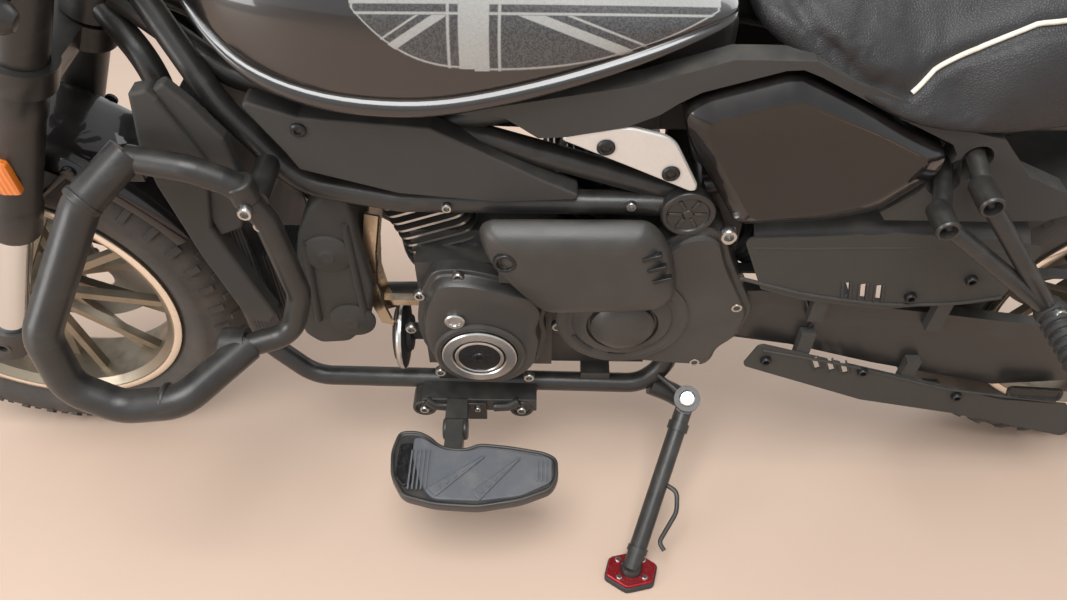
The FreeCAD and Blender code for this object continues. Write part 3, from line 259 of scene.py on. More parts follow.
def looking(at, way, up=(0, 0, 1)):
    """A place at a point whose Z axis runs along a way."""
    forward = Vector(way).normalized()
    across = Vector(up).cross(forward)
    if across.length < 1e-3:
        across = Vector((1, 0, 0)).cross(forward)
    across.normalize()
    turn = Matrix((across, forward.cross(across), forward)).transposed().to_4x4()
    return Matrix.Translation(Vector(at)) @ turn


def turned(at, degrees, axis):
    """A place at a point, turned about one axis."""
    return Matrix.Translation(at) @ Matrix.Rotation(math.radians(degrees), 4, axis)


def bent(points, bend, step=9.0):
    """A dense path through straight runs whose corners are rounded."""
    points = [Vector(point) for point in points]
    path = [points[0]]
    for before, here, after in zip(points, points[1:], points[2:]):
        reach = min(bend, 0.48 * (here - before).length, 0.48 * (after - here).length)
        first = here + (before - here).normalized() * reach
        last = here + (after - here).normalized() * reach
        count = max(4, int(reach * 1.6 / step))
        path += [first.lerp(here, t).lerp(here.lerp(last, t), t) for t in (i / count for i in range(count + 1))]
    return path + [points[-1]]


def sweep(bm, path, radius, sides, flat=1.0):
    """A round or flattened bar along a dense path; radius may be a value for each point."""
    path = [Vector(point) for point in path]
    across = None
    rings = []
    for i, here in enumerate(path):
        way = (path[min(i + 1, len(path) - 1)] - path[max(i - 1, 0)]).normalized()
        if across is None:
            across = way.orthogonal().normalized()
        across = (across - way * across.dot(way)).normalized()
        other = way.cross(across)
        size = radius[i] if isinstance(radius, (list, tuple)) else radius
        rings.append([here + (across * math.cos(a) + other * math.sin(a) * flat) * size
            for a in (2 * math.pi * k / sides for k in range(sides))])
    skin(bm, rings)


def block(bm, low, high, place=Matrix.Identity(4)):
    """A block between two corners of a place."""
    section = ((low[0], low[2]), (high[0], low[2]), (high[0], high[2]), (low[0], high[2]))
    skin(bm, [[place @ Vector((x, y, z)) for x, z in section] for y in (low[1], high[1])])


def grown(outline, distance):
    """An outline moved outwards, or inwards for less than nothing."""
    area = sum(a[0] * b[1] - b[0] * a[1] for a, b in zip(outline, outline[1:] + outline[:1]))
    turn = 1 if area > 0 else -1
    made = []
    for before, here, after in zip(outline[-1:] + outline[:-1], outline, outline[1:] + outline[:1]):
        into = Vector((here[0] - before[0], here[1] - before[1])).normalized()
        out = Vector((after[0] - here[0], after[1] - here[1])).normalized()
        first = Vector((into.y, -into.x)) * turn
        last = Vector((out.y, -out.x)) * turn
        both = (first + last) / max(0.45, 1 + first.dot(last))
        made.append((here[0] + both.x * distance, here[1] + both.y * distance))
    return made


def rounded(outline, radius, count):
    """An outline with its corners rounded; radius may be a value for each corner."""
    points = [Vector(point) for point in outline]
    made = []
    for i, here in enumerate(points):
        before, after = points[i - 1], points[(i + 1) % len(points)]
        size = radius[i] if isinstance(radius, (list, tuple)) else radius
        reach = min(size, 0.45 * (here - before).length, 0.45 * (after - here).length)
        first = here + (before - here).normalized() * reach
        last = here + (after - here).normalized() * reach
        made += [tuple(first.lerp(here, t).lerp(here.lerp(last, t), t)) for t in (k / count for k in range(count + 1))]
    return made


def slab(bm, outline, layers):
    """A side panel from an outline (x, z): layers are (how far it is drawn in, y), from the back to the face."""
    rings = []
    middle = Vector((sum(x for x, z in outline), sum(z for x, z in outline))) / len(outline)
    reach = sum((Vector(point) - middle).length for point in outline) / len(outline)
    for inset, y in layers:
        drawn = [Vector(point) for point in grown(outline, -min(inset, 6.0))]
        share = 1.0 - max(inset - 6.0, 0.0) / reach
        rings.append([Vector((middle.x + share * (point.x - middle.x), y, middle.y + share * (point.y - middle.y)))
            for point in drawn])
    skin(bm, rings)


def stepped(bm, outline, layers, axis, place=Matrix.Identity(4)):
    """A plate from an outline across an axis: layers are (how far it is drawn in, place along the axis)."""
    return skin(bm, [[place @ Vector((*point[:axis], level, *point[axis:])) for point in grown(outline, -inset)]
        for inset, level in layers])


def piece(name, bm, surfaces, body="root", stands_for=(), bevel=0.0, soften=0, sharp=35.0, both=False):
    """Turns gathered faces into a finished object that rides on a body, and empties bm for the next."""
    if both:
        twin = bmesh.ops.duplicate(bm, geom=bm.verts[:] + bm.edges[:] + bm.faces[:])["geom"]
        bmesh.ops.scale(bm, vec=(1, -1, 1), verts=[g for g in twin if isinstance(g, bmesh.types.BMVert)])
    bmesh.ops.remove_doubles(bm, verts=bm.verts, dist=0.01)
    bmesh.ops.recalc_face_normals(bm, faces=bm.faces)
    mesh = bpy.data.meshes.new(name)
    bm.to_mesh(mesh)
    bm.clear()
    mesh.transform(PARK)
    smoothed(mesh, surfaces)
    mesh.set_sharp_from_angle(angle=math.radians(sharp))
    made = placed(name, mesh)
    if bevel:
        edge = made.modifiers.new("Rounded edges", "BEVEL")
        edge.width = bevel
        edge.segments = 2
        edge.limit_method = "ANGLE"
        edge.angle_limit = math.radians(sharp)
    if soften:
        smooth = made.modifiers.new("Soft form", "SUBSURF")
        smooth.levels = smooth.render_levels = soften
    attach(made, body)
    if stands_for:
        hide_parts(*stands_for)


def finishes():
    """Every surface of the bike by a short name."""
    colours = bpy.context.scene.motorcycle_colours
    made = {}
    # Gloss enamel under clear lacquer: deep, brown-black, sharp reflections with faint waviness and dust
    made["paint"] = finish("Gloss enamel", colours.paint, 0.32, layers=(("noise", 140, 0.35, 0.7, "#171213", 0.5),
        ("noise", 9, 0.55, 0.8, "#3A3735", 0.05, 0.1)), dust=0.05, Coat_Weight=1.0, Coat_Roughness=0.04, Coat_IOR=1.42,
        IOR=1.3)
    # Satin powder coat on steel tube: fine orange peel and long scuffs that shine
    made["powder"] = finish("Powder coated steel", colours.powder, 0.3,
        layers=(("noise", 2.2, 0.3, 0.7, None, 0.0, 0.06, 0.05), ("noise", 60, 0.56, 0.72, "#3F3E3C", 0.35, 0.14, 0.0,
        (1, 1, 3))), dust=0.16)
    # Engine coat on cast alloy: satin black with a sandy cast grain and dust on its upper faces
    made["casing"] = finish("Coated cast alloy", colours.casing, 0.34,
        layers=(("noise", 1.6, 0.3, 0.7, None, 0.0, 0.08, 0.06), ("noise", 90, 0.4, 0.75, "#45423D", 0.4, 0.08)),
        dust=0.16)
    # Grained polypropylene: matte charcoal with a leathery spark-eroded grain
    made["moulding"] = finish("Grained polypropylene", colours.moulding, 0.62,
        layers=(("cells", 1.4, 0.02, 0.2, None, 0.0, 0.05, 0.06), ("noise", 120, 0.35, 0.75, "#3C3A38", 0.45, 0.05)),
        dust=0.22)
    # Champagne lacquer on cast aluminium: warm metal with faint brake dust
    made["wheel"] = finish("Lacquered cast aluminium", colours.wheels, 0.34, 0.85,
        layers=(("noise", 1.3, 0.3, 0.7, None, 0.0, 0.08, 0.03), ("noise", 45, 0.5, 0.8, "#4B4236", 0.5, 0.15)),
        dust=0.12)
    # Turned aluminium lip: bright with fine rings left by the tool
    made["turned"] = finish("Turned aluminium", "#F2E8DA", 0.26, 1.0,
        layers=(("noise", 3, 0.3, 0.7, None, 0.0, 0.12), ("noise", 50, 0.5, 0.85, "#B3AA9A", 0.3, 0.1)))
    # Machined faces, plated screws and fins: pale grey with slight staining
    made["bright"] = finish("Machined aluminium", "#BEBDBA", 0.28, 1.0,
        layers=(("noise", 18, 0.45, 0.8, "#7E7B75", 0.4, 0.14, 0.02),))
    # Silver painted alloy of the side plates: even, fine flake
    made["silver"] = finish("Silver painted alloy", "#D2CFCB", 0.42, 0.45,
        layers=(("noise", 1.0, 0.3, 0.7, "#B5B3B0", 0.35, 0.05, 0.02), ("noise", 80, 0.5, 0.8, "#8F8C87", 0.25, 0.08)),
        dust=0.06)
    # Tyre rubber: carbon grey-black, dry, dusty on the tread
    made["tyre"] = finish("Vulcanised rubber", "#3C3835", 0.78, layers=(("noise", 3.5, 0.35, 0.7, "#4A4541", 0.5, 0.06,
        0.1), ("noise", 60, 0.45, 0.75, "#5E564D", 0.5, 0.08)))
    # Moulded rubber of grips, belt and hoses: darker and smoother
    made["rubber"] = finish("Moulded rubber", "#262627", 0.58, layers=(("noise", 4, 0.35, 0.7, "#323232", 0.5, 0.08,
        0.05),), dust=0.1)
    # Grey footboard rubber with worn, dusty crowns
    made["mat"] = finish("Footboard rubber", "#54575D", 0.6, layers=(("noise", 2.5, 0.35, 0.7, "#62666C", 0.4, 0.06,
        0.05), ("noise", 38, 0.5, 0.8, "#85827B", 0.35, 0.08)), dust=0.25)
    # Saddle leather: fine pebbled grain, soft sheen, paler on the crests
    made["leather"] = finish("Grained leather", colours.leather, 0.5,
        layers=(("cells", 2.6, 0.02, 0.3, "#242426", 0.5, -0.05, 0.22),
        ("noise", 110, 0.4, 0.75, "#29292B", 0.4, 0.05)), dust=0.1)
    # Cream vinyl welt: slightly soiled
    made["piping"] = finish("Vinyl welt", colours.piping, 0.5, layers=(("noise", 12, 0.45, 0.8, "#A79C86", 0.45,
        0.08),))
    # Hard chrome of the fork stanchions: mirror bright with faint haze
    made["chrome"] = finish("Hard chrome", "#DADCDD", 0.06, 1.0, layers=(("noise", 30, 0.5, 0.8, None, 0.0, 0.08),))
    # Brake disc steel: circular brushing, darker land
    made["disc"] = finish("Brushed brake steel", "#9B9A98", 0.3, 1.0,
        layers=(("noise", 2.0, 0.3, 0.7, "#7D7B78", 0.5, 0.12, 0.02),))
    # Ceramic coated exhaust: matte black with warm bloom near the head
    made["exhaust"] = finish("Ceramic coated steel", "#2C2B2A", 0.46,
        layers=(("noise", 1.8, 0.3, 0.7, None, 0.0, 0.06, 0.05), ("noise", 70, 0.45, 0.75, "#3A322B", 0.6, 0.1)),
        dust=0.12)
    # Heat shield: thin polished steel with straw tint and smudges
    made["shield"] = finish("Tempered steel sheet", "#B7A893", 0.22, 1.0,
        layers=(("noise", 25, 0.4, 0.75, "#8A745B", 0.7, 0.2, 0.0, (1, 1, 0.3)),))
    # Radiator matrix: black aluminium fins as paler bands of painted highlight on their edges, with painted shade in
    # the deep gaps between them
    made["core"] = finish("Black aluminium matrix", "#2A2A2C", 0.5, 0.4,
        layers=(("X", 2.2, 0.2, 0.8, "#3C3C3E", 0.6, 0.0, 0.4), ("noise", 30, 0.5, 0.8, "#4B463D", 0.4, 0.1)),
        dust=0.1)
    # Black passivated screws: dark with worn silver edges
    made["dark"] = finish("Black zinc screws", "#2A2A2B", 0.34, 0.6,
        layers=(("noise", 5, 0.5, 0.75, "#5A5956", 0.4, 0.1),))
    # Anodised plate with scratches down to the metal
    made["anodised"] = finish("Anodised aluminium", colours.foot_plate, 0.36, 0.7,
        layers=(("noise", 4, 0.55, 0.75, "#B9A6A0", 0.45, 0.12, 0.0, (3, 1, 1)),), dust=0.15)
    # Lenses: clear coloured polycarbonate over a pale reflector
    made["amber"] = finish("Amber polycarbonate", "#C8641A", 0.16, layers=(("X", 3.0, 0.2, 0.8, "#E58A33", 0.5, 0.05,
        0.3),), Coat_Weight=0.8)
    made["red"] = finish("Red polycarbonate", "#8E1414", 0.16, layers=(("Z", 3.0, 0.2, 0.8, "#C32B22", 0.5, 0.05,
        0.3),), Coat_Weight=0.8)
    # Headlight glass and dial lens: bright reflector seen through
    made["glass"] = finish("Fluted lamp glass", "#9FA6AB", 0.06, 0.75,
        layers=(("Y", 9.0, 0.3, 0.7, "#D8DDE0", 0.6, 0.04, 0.6),), Coat_Weight=1.0)
    made["dial"] = finish("Dial glass", "#0B0D10", 0.08, layers=(("noise", 40, 0.4, 0.7, "#161A1F", 0.6, 0.04),),
        Coat_Weight=1.0)
    made["flag"] = flag_finish()
    made["mirror"] = finish("Silvered mirror", "#E6EAEC", 0.03, 1.0,
        layers=(("noise", 30, 0.55, 0.8, None, 0.0, 0.05),))
    return made


# The frame's nodes by the surface that they show
NODE_FINISH = {
    "tyre": "front_tyre rear_tyre", "wheel": "front_rim rear_rim", "disc": "front_disc rear_disc", "leather": "seat",
    "powder": "frame swingarm shock peg_stays crash_bars stand_leg fork_clamps fork_tubes headlight handlebar mirrors "
              "instrument",
    "casing": "crankcase cylinders primary_cover top_cover pulley_cover footboards fork_feet", "core": "radiator",
    "moulding": "radiator_shrouds frame_covers rear_fender belt_guards", "red": "tail_lamp",
    "rubber": "horn belt grips", "paint": "tank side_covers front_fender", "silver": "side_plates",
    "amber": "rear_indicators front_indicators", "exhaust": "exhaust_pipes mufflers", "anodised": "stand_foot",
    "chrome": "stanchions"}


class MOTORCYCLE_OT_finishes(bpy.types.Operator):
    """Give every carried-over piece of the frame its surface"""
    bl_idname = "motorcycle.finishes"
    bl_label = "Surfaces"

    def execute(self, context):
        made = finishes()
        for kind, names in NODE_FINISH.items():
            for name in names.split():
                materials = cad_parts[name].data.materials
                materials.clear()
                materials.append(made[kind])
        return {"FINISHED"}


# The photo's eye: place in metres, heading and tilt below level in degrees, focal length in picture pixels
EYE = (0.0685, 0.829, 1.0006)
HEADING = 180.968
TILT = 37.818
FOCAL, PICTURE_WIDTH = 840, 1067
SENSOR = 36.0
# The world's strength as light, and as seen by the eye and in mirrors
WORLD_LIGHT, WORLD_SEEN = 0.78, 0.92


# Area lamps: name, place and aim in metres, width, watts
LAMPS = (("Sky light", (0.3, 1.5, 3.2), (0.1, 0.0, 0.3), 1.8, 105),
    ("Front light", (2.6, 1.9, 1.0), (0.4, 0.0, 0.4), 1.4, 42), ("Back light", (-2.6, -2.4, 2.6), (0, 0, 0.5), 2.5,
    50))


class MOTORCYCLE_OT_stage(bpy.types.Operator):
    """Set the floor, the lamps, the world and the camera"""
    bl_idname = "motorcycle.stage"
    bl_label = "Floor, light and camera"

    def execute(self, context):
        floor = bpy.data.meshes.new("Floor")
        floor.from_pydata([(-8, -8, 0), (8, -8, 0), (8, 8, 0), (-8, 8, 0)], [], [(0, 1, 2, 3)])
        ground = placed("Floor", floor)
        ground.location.z = -0.0005
        floor.materials.append(finish("Pale floor", "#D0B7A4", 0.55, layers=(("noise", 400, 0.3, 0.7, "#C6AD9B", 0.4,
            0.05),)))
        for name, place, aim, size, power in LAMPS:
            data = bpy.data.lights.new(name, "AREA")
            data.energy = power
            data.size = size
            lamp = placed(name, data)
            lamp.location = place
            lamp.rotation_euler = (Vector(aim) - Vector(place)).to_track_quat("-Z", "Y").to_euler()
        world = bpy.data.worlds.new("Studio")
        context.scene.world = world
        world.use_nodes = True
        tree = world.node_tree
        back = tree.nodes["Background"]
        path = add(tree, "ShaderNodeLightPath").outputs
        seen = maths(tree, "MAXIMUM", path["Is Camera Ray"], path["Is Transmission Ray"])
        seen = maths(tree, "MAXIMUM", seen, path["Is Glossy Ray"])
        tree.links.new(between(tree, seen, WORLD_LIGHT, WORLD_SEEN), back.inputs["Strength"])
        back.inputs["Color"].default_value = linear("#F4F5F6")
        context.scene.view_settings.view_transform = "Standard"
        data = bpy.data.cameras.new("Camera")
        data.sensor_width = SENSOR
        data.lens = FOCAL / PICTURE_WIDTH * SENSOR
        data.clip_start = 0.01
        eye = placed("Camera", data)
        turn = turned((0, 0, 0), HEADING, "Z") @ turned((0, 0, 0), 90 - TILT, "X")
        eye.matrix_world = Matrix.Translation(EYE) @ turn
        context.scene.camera = eye
        return {"FINISHED"}


# Tank stations: x, half width, underside, seam above the lip, crest
TANK = ((1152, 52, 778, 788, 806), (1128, 88, 758, 772, 838), (1100, 112, 724, 744, 857), (1066, 127, 700, 722, 867),
    (1004, 139, 682, 704, 874), (926, 144, 679, 700, 868), (867, 144, 686, 706, 858), (777, 139, 708, 727, 832),
    (704, 129, 731, 748, 804), (650, 113, 748, 762, 785), (618, 96, 757, 766, 775))
# Half section from the middle of the underside up to the crest: share of half width, share of height above the seam
TANK_SIDE = ((1.0, 0.06), (1.0, 0.2), (0.975, 0.42), (0.88, 0.64), (0.68, 0.84), (0.4, 0.955), (0.16, 0.995))


def tank_ring(x, half, low, seam, top):
    """One station of the tank: flat underside, rolled lip, seam groove and rounded body."""
    tall = top - seam
    side = [(0.5 * half, low + 5), (0.9 * half, low), (half + 2.5, low + 3), (half + 4.5, 0.5 * (low + seam)),
        (half + 2, seam - 3), (half - 3.5, seam - 1), (half - 2.5, seam + 2)]
    side += [(share * half, seam + rise * tall) for share, rise in TANK_SIDE]
    left = [(x, y, z) for y, z in side]
    right = [(x, -y, z) for y, z in reversed(side)]
    return [(x, 0, low + 6)] + left + [(x, 0, top)] + right


# Middle of the flag panel (x, z) and the softness of its lines, in millimetres
FLAG_MIDDLE = (858.0, 820.0)
FLAG_BLUR = 0.6
# Behind and ahead of its middle: length, half height and slope of the diagonals
FLAG_REACH = (218.0, 108.0)
FLAG_DEPTH = (80.0, 78.0)
FLAG_SLOPE = (0.42, 0.72)
# Power and share by which the panel narrows to its ends, and half width of the cross
FLAG_TAPER, FLAG_FALL = 2.6, 0.78
CROSS_HALF = 13.5
# Where the tank's flank turns in, and how far the film runs on and up for each millimetre inwards of it
FLANK = 150
FILM_WRAP = (0.09, 0.62)


def flag_finish():
    """Gloss enamel with a satin inset: a speckled grey cross-and-diagonals flag with pale lines; the one round its rim
    is a painted highlight.
    """
    name = "Gloss enamel with flag film"
    if name in bpy.data.materials:
        return bpy.data.materials[name]
    made = finish(name, bpy.context.scene.motorcycle_colours.paint, 0.32,
        layers=(("noise", 140, 0.35, 0.7, "#171213", 0.5),), dust=0.05, Coat_Weight=1.0, Coat_Roughness=0.05)
    tree = made.node_tree
    shader = tree.nodes["Principled BSDF"]

    def band(value, middle, half):
        """One inside a stripe around a value, with a slightly soft edge."""
        away = maths(tree, "ABSOLUTE", maths(tree, "SUBTRACT", value, middle))
        return ranged(tree, away, half + FLAG_BLUR, half - FLAG_BLUR)

    across = add(tree, "ShaderNodeSeparateXYZ", {0: add(tree, "ShaderNodeUVMap", uv_map="Flag").outputs[0]}).outputs
    x = maths(tree, "MULTIPLY", across[0], 1000.0)
    z = maths(tree, "MULTIPLY", across[1], 1000.0)
    u = maths(tree, "SUBTRACT", x, FLAG_MIDDLE[0])
    v = maths(tree, "ABSOLUTE", maths(tree, "SUBTRACT", z, FLAG_MIDDLE[1]))
    fore = maths(tree, "GREATER_THAN", u, 0.0)
    reach = between(tree, fore, *FLAG_REACH)
    run = maths(tree, "DIVIDE", maths(tree, "ABSOLUTE", u), reach)
    depth = between(tree, fore, *FLAG_DEPTH)
    fall = maths(tree, "MULTIPLY", maths(tree, "POWER", run, FLAG_TAPER), FLAG_FALL)
    edge = maths(tree, "SUBTRACT", maths(tree, "MULTIPLY", depth, maths(tree, "SUBTRACT", 1.0, fall)), v)
    end = maths(tree, "MULTIPLY", maths(tree, "SUBTRACT", 1.0, run), reach)
    rim_way = maths(tree, "MINIMUM", edge, end)
    inside = ranged(tree, rim_way, -0.5, 0.5)
    # Pale line just inside the panel's rim: a painted highlight of the film's raised edge
    line = band(rim_way, 2.0, 0.9)
    # Diagonals run from the cross to the corners of the panel
    slope = between(tree, fore, *FLAG_SLOPE)
    lean_way = maths(tree, "SUBTRACT", v, maths(tree, "MULTIPLY", maths(tree, "ABSOLUTE", u), slope))
    diagonal = band(lean_way, 3.0, 5.0)
    thin = band(lean_way, -11.0, 1.2)
    upright = band(u, 0.0, CROSS_HALF)
    level = band(v, 0.0, CROSS_HALF)
    beside = maths(tree, "MAXIMUM", band(maths(tree, "ABSOLUTE", u), 22.5, 1.3), band(v, 22.5, 1.3))
    gap_zone = maths(tree, "MAXIMUM", band(u, 0.0, 24.0), band(v, 0.0, 24.0))
    cross = maths(tree, "MAXIMUM", upright, level)
    slant = maths(tree, "MULTIPLY", maths(tree, "MAXIMUM", diagonal, thin), maths(tree, "SUBTRACT", 1.0, gap_zone))
    light = maths(tree, "MAXIMUM", maths(tree, "MAXIMUM", cross, beside), maths(tree, "MAXIMUM", slant, line))
    grain = add(tree, "ShaderNodeTexNoise", {"Vector": add(tree, "ShaderNodeTexCoord").outputs["Object"],
        "Scale": 520.0, "Detail": 4.0, "Roughness": 0.8}).outputs["Fac"]
    ground = mixed(tree, maths(tree, "GREATER_THAN", grain, 0.5), linear("#2B2B2C"), linear("#454546"))
    pale = mixed(tree, grain, linear("#6E6E6C"), linear("#A3A3A0"))
    film = mixed(tree, light, ground, pale)
    under = shader.inputs["Base Color"].links[0].from_socket
    tree.links.new(mixed(tree, inside, under, film), shader.inputs["Base Color"])
    tree.links.new(maths(tree, "MULTIPLY_ADD", inside, 0.1, 0.32), shader.inputs["Roughness"])
    tree.links.new(maths(tree, "SUBTRACT", 1.0, maths(tree, "MULTIPLY", inside, 0.75)), shader.inputs["Coat Weight"])
    return made


class MOTORCYCLE_OT_tank(bpy.types.Operator):
    """Make the fuel tank with its rolled lip, flag film and filler cap"""
    bl_idname = "motorcycle.tank"
    bl_label = "Fuel tank"

    def execute(self, context):
        bm = bmesh.new()
        nose = (TANK[0][0] + 5, TANK[0][1] * 0.6, 784, 790, 800)
        tail = (TANK[-1][0] - 5, TANK[-1][1] * 0.8, 761, 767, 772)
        skin(bm, [tank_ring(*row) for row in (nose, *TANK, tail)])
        uv = bm.loops.layers.uv.new("Flag")
        for face in bm.faces:
            for loop in face.loops:
                x, y, z = loop.vert.co
                inwards = FLANK - abs(y)
                loop[uv].uv = ((x + inwards * FILM_WRAP[0]) / 1000, (z + inwards * FILM_WRAP[1]) / 1000)
        piece("tank_body", bm, "flag", stands_for=("tank",), soften=2, sharp=180.0)
        cap = Matrix.Translation((930, 0, 860))
        lathe(bm, [(0, 14), (12, 14.5), (27, 13), (31, 9), (31, 1), (40, 1), (42, -2), (42, -8), (0, -8)], cap, 48)
        for step in range(24):
            turn = cap @ Matrix.Rotation(math.radians(15 * step), 4, "Z")
            block(bm, (30.4, -1.6, 2), (32.6, 1.6, 9), turn)
        piece("filler_cap", bm, "casing", bevel=0.0006)
        return {"FINISHED"}


# Saddle stations: x, half width, underside, flank height, crest
SADDLE = ((604, 78, 752, 768, 776), (578, 100, 737, 760, 773), (530, 122, 712, 742, 768), (480, 134, 683, 722, 750),
    (430, 139, 662, 706, 742), (380, 139, 655, 706, 752), (345, 136, 652, 714, 766), (300, 128, 650, 722, 776),
    (220, 114, 654, 726, 784), (140, 98, 660, 728, 782), (78, 80, 668, 730, 770))
SADDLE_SIDE = ((0.6, 0.0, 0), (0.93, 0.0, 0), (1.0, 0.3, 0), (1.02, 1.0, 0), (0.97, 1.0, 0.45), (0.82, 1.0, 0.82),
    (0.5, 1.0, 0.98))


def saddle_ring(x, half, low, flank, top):
    """One station of the saddle: flat pan, flank and crowned top."""
    side = [(share * half, low + up * (flank - low) + crown * (top - flank)) for share, up, crown in SADDLE_SIDE]
    left = [(x, y, z) for y, z in side]
    right = [(x, -y, z) for y, z in reversed(side)]
    return [(x, 0, low)] + left + [(x, 0, top)] + right


# The seam of the top panel, seen from the side: it drops to the rider's thigh, then climbs to the back
SEAM = ((612, 792), (572, 776), (535, 745), (492, 713), (447, 698), (428, 717), (400, 731), (371, 744), (343, 757),
    (300, 764), (240, 768), (170, 768), (92, 758))


def graph(line, x, before, behind):
    """Height of a broken line at x, or a set height past its ends; the line runs from front to back."""
    for first, last in zip(line, line[1:]):
        if first[0] >= x >= last[0]:
            return first[1] + (first[0] - x) / (first[0] - last[0]) * (last[1] - first[1])
    return before if x > line[0][0] else behind


def seam_height(x):
    """Height of the top panel's seam at a place along the saddle."""
    return graph(SEAM, x, SEAM[0][1], SEAM[-1][1])


# Half width of the crest that no seam reaches; depth and width of the seam's crease; the roll of foam above the
# seam: how far it stands out, how high it lies and how wide it is
CREST = 45
CREASE = (5.0, 5.0)
ROLL = (3.5, 15, 9.0)


def sewn_in(x, y, z):
    """How far the sewn seam draws the cover in at a point, less the roll of foam above it, in millimetres."""
    if abs(y) < CREST:
        return 0.0
    away = z - seam_height(x)
    if 428 < x < 600:
        away *= 0.75
    return CREASE[0] * math.exp(-(away / CREASE[1]) ** 2) - ROLL[0] * math.exp(-((away - ROLL[1]) / ROLL[2]) ** 2)


# The cover as a cloth: thin, stretchy and blown up from inside
COVER_CLOTH = {"quality": 6, "mass": 0.3, "tension_stiffness": 25, "compression_stiffness": 25,
    "bending_stiffness": 2.0, "use_pressure": True, "uniform_pressure_force": 4.0}
# Steps that the cover takes to swell, and its greatest height in metres
COVER_STEPS = 20
SADDLE_TOP = 0.797


class MOTORCYCLE_OT_saddle(bpy.types.Operator):
    """Make the padded saddle: foam swollen under a sewn cover, with its crease and cream welt"""
    bl_idname = "motorcycle.saddle"
    bl_label = "Saddle"

    def execute(self, context):
        sizes = context.scene.motorcycle_sizes
        bm = bmesh.new()
        skin(bm, [saddle_ring(*row) for row in SADDLE])
        bmesh.ops.recalc_face_normals(bm, faces=bm.faces)
        mesh = bpy.data.meshes.new("Saddle form")
        bm.to_mesh(mesh)
        bm.free()
        mesh.transform(Matrix.Scale(0.001, 4))
        form = placed("Saddle form", mesh)
        smooth = form.modifiers.new("Round", "SUBSURF")
        smooth.levels = smooth.render_levels = 2
        even = form.modifiers.new("Even mesh", "REMESH")
        even.mode = "VOXEL"
        even.voxel_size = sizes.voxel
        form.data = self.taken(context, form)
        rest = [vertex.co.copy() for vertex in form.data.vertices]
        cloth = form.modifiers.new("Cover", "CLOTH")
        for key, value in COVER_CLOTH.items():
            setattr(cloth.settings, key, value)
        cloth.settings.effector_weights.gravity = 0.0
        pan_line = [(row[0], row[2]) for row in SADDLE]
        pan = form.vertex_groups.new(name="Pan")
        pan.add([v.index for v in form.data.vertices if v.co.z < graph(pan_line, v.co.x * 1000, 770, 670) * 0.001 +
            0.01], 1.0, "REPLACE")
        cloth.settings.vertex_group_mass = "Pan"
        for count in range(1, COVER_STEPS + 1):
            context.scene.frame_set(count)
        form.data = self.taken(context, form)
        context.scene.frame_set(1)
        for vertex, start in zip(form.data.vertices, rest):
            way = vertex.co - start
            if way.length > sizes.swell:
                vertex.co = start + way.normalized() * sizes.swell
        mesh = form.data
        for vertex in mesh.vertices:
            x, y, z = vertex.co * 1000
            vertex.co -= vertex.normal * sewn_in(x, y, z) * 0.001
            vertex.co.z = min(vertex.co.z, SADDLE_TOP)
        finer = form.modifiers.new("Finer cover", "SUBSURF")
        finer.levels = finer.render_levels = 1
        mesh = self.taken(context, form)
        over = bmesh.new()
        over.from_mesh(mesh)
        tree = BVHTree.FromBMesh(over)
        over.free()
        bpy.data.objects.remove(form)
        mesh.transform(PARK @ Matrix.Scale(1000, 4))
        mesh.name = "saddle_cover"
        mesh.materials.clear()
        smoothed(mesh, "leather")
        saddle = placed("saddle_cover", mesh)
        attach(saddle, "root")
        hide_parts("seat")
        welt = bmesh.new()
        for side in SIDES:
            on = []
            for x in range(446, 92, -6):
                from_side = Vector((x, 300 * side, seam_height(x) + 1)) * 0.001
                spot, normal = tree.ray_cast(from_side, Vector((0, -side, 0)))[:2]
                if spot:
                    on.append((spot + normal * 0.001) * 1000)
            sweep(welt, on, sizes.piping * 1000, 8)
        piece("saddle_welt", welt, "piping", sharp=80.0)
        return {"FINISHED"}

    @staticmethod
    def taken(context, thing):
        """The evaluated mesh, with the modifiers taken off."""
        made = bpy.data.meshes.new_from_object(thing.evaluated_get(context.evaluated_depsgraph_get()))
        thing.modifiers.clear()
        return made


# Corners of a side cover from the side: edge of the panel, edge of its raised face
SIDE_COVER = (((661, 680), (638, 672)), ((643, 695), (630, 682)), ((560, 722), (556, 705)), ((466, 676), (470, 668)),
    ((390, 636), (412, 638)), ((390, 611), (421, 614)), ((436, 561), (454, 580)), ((487, 546), (498, 566)),
    ((585, 538), (574, 556)), ((648, 643), (630, 650)))
SILVER_PLATE = [(777, 645), (772, 652), (710, 661), (672, 650), (661, 641), (633, 587), (634, 580), (640, 579),
    (695, 606)]


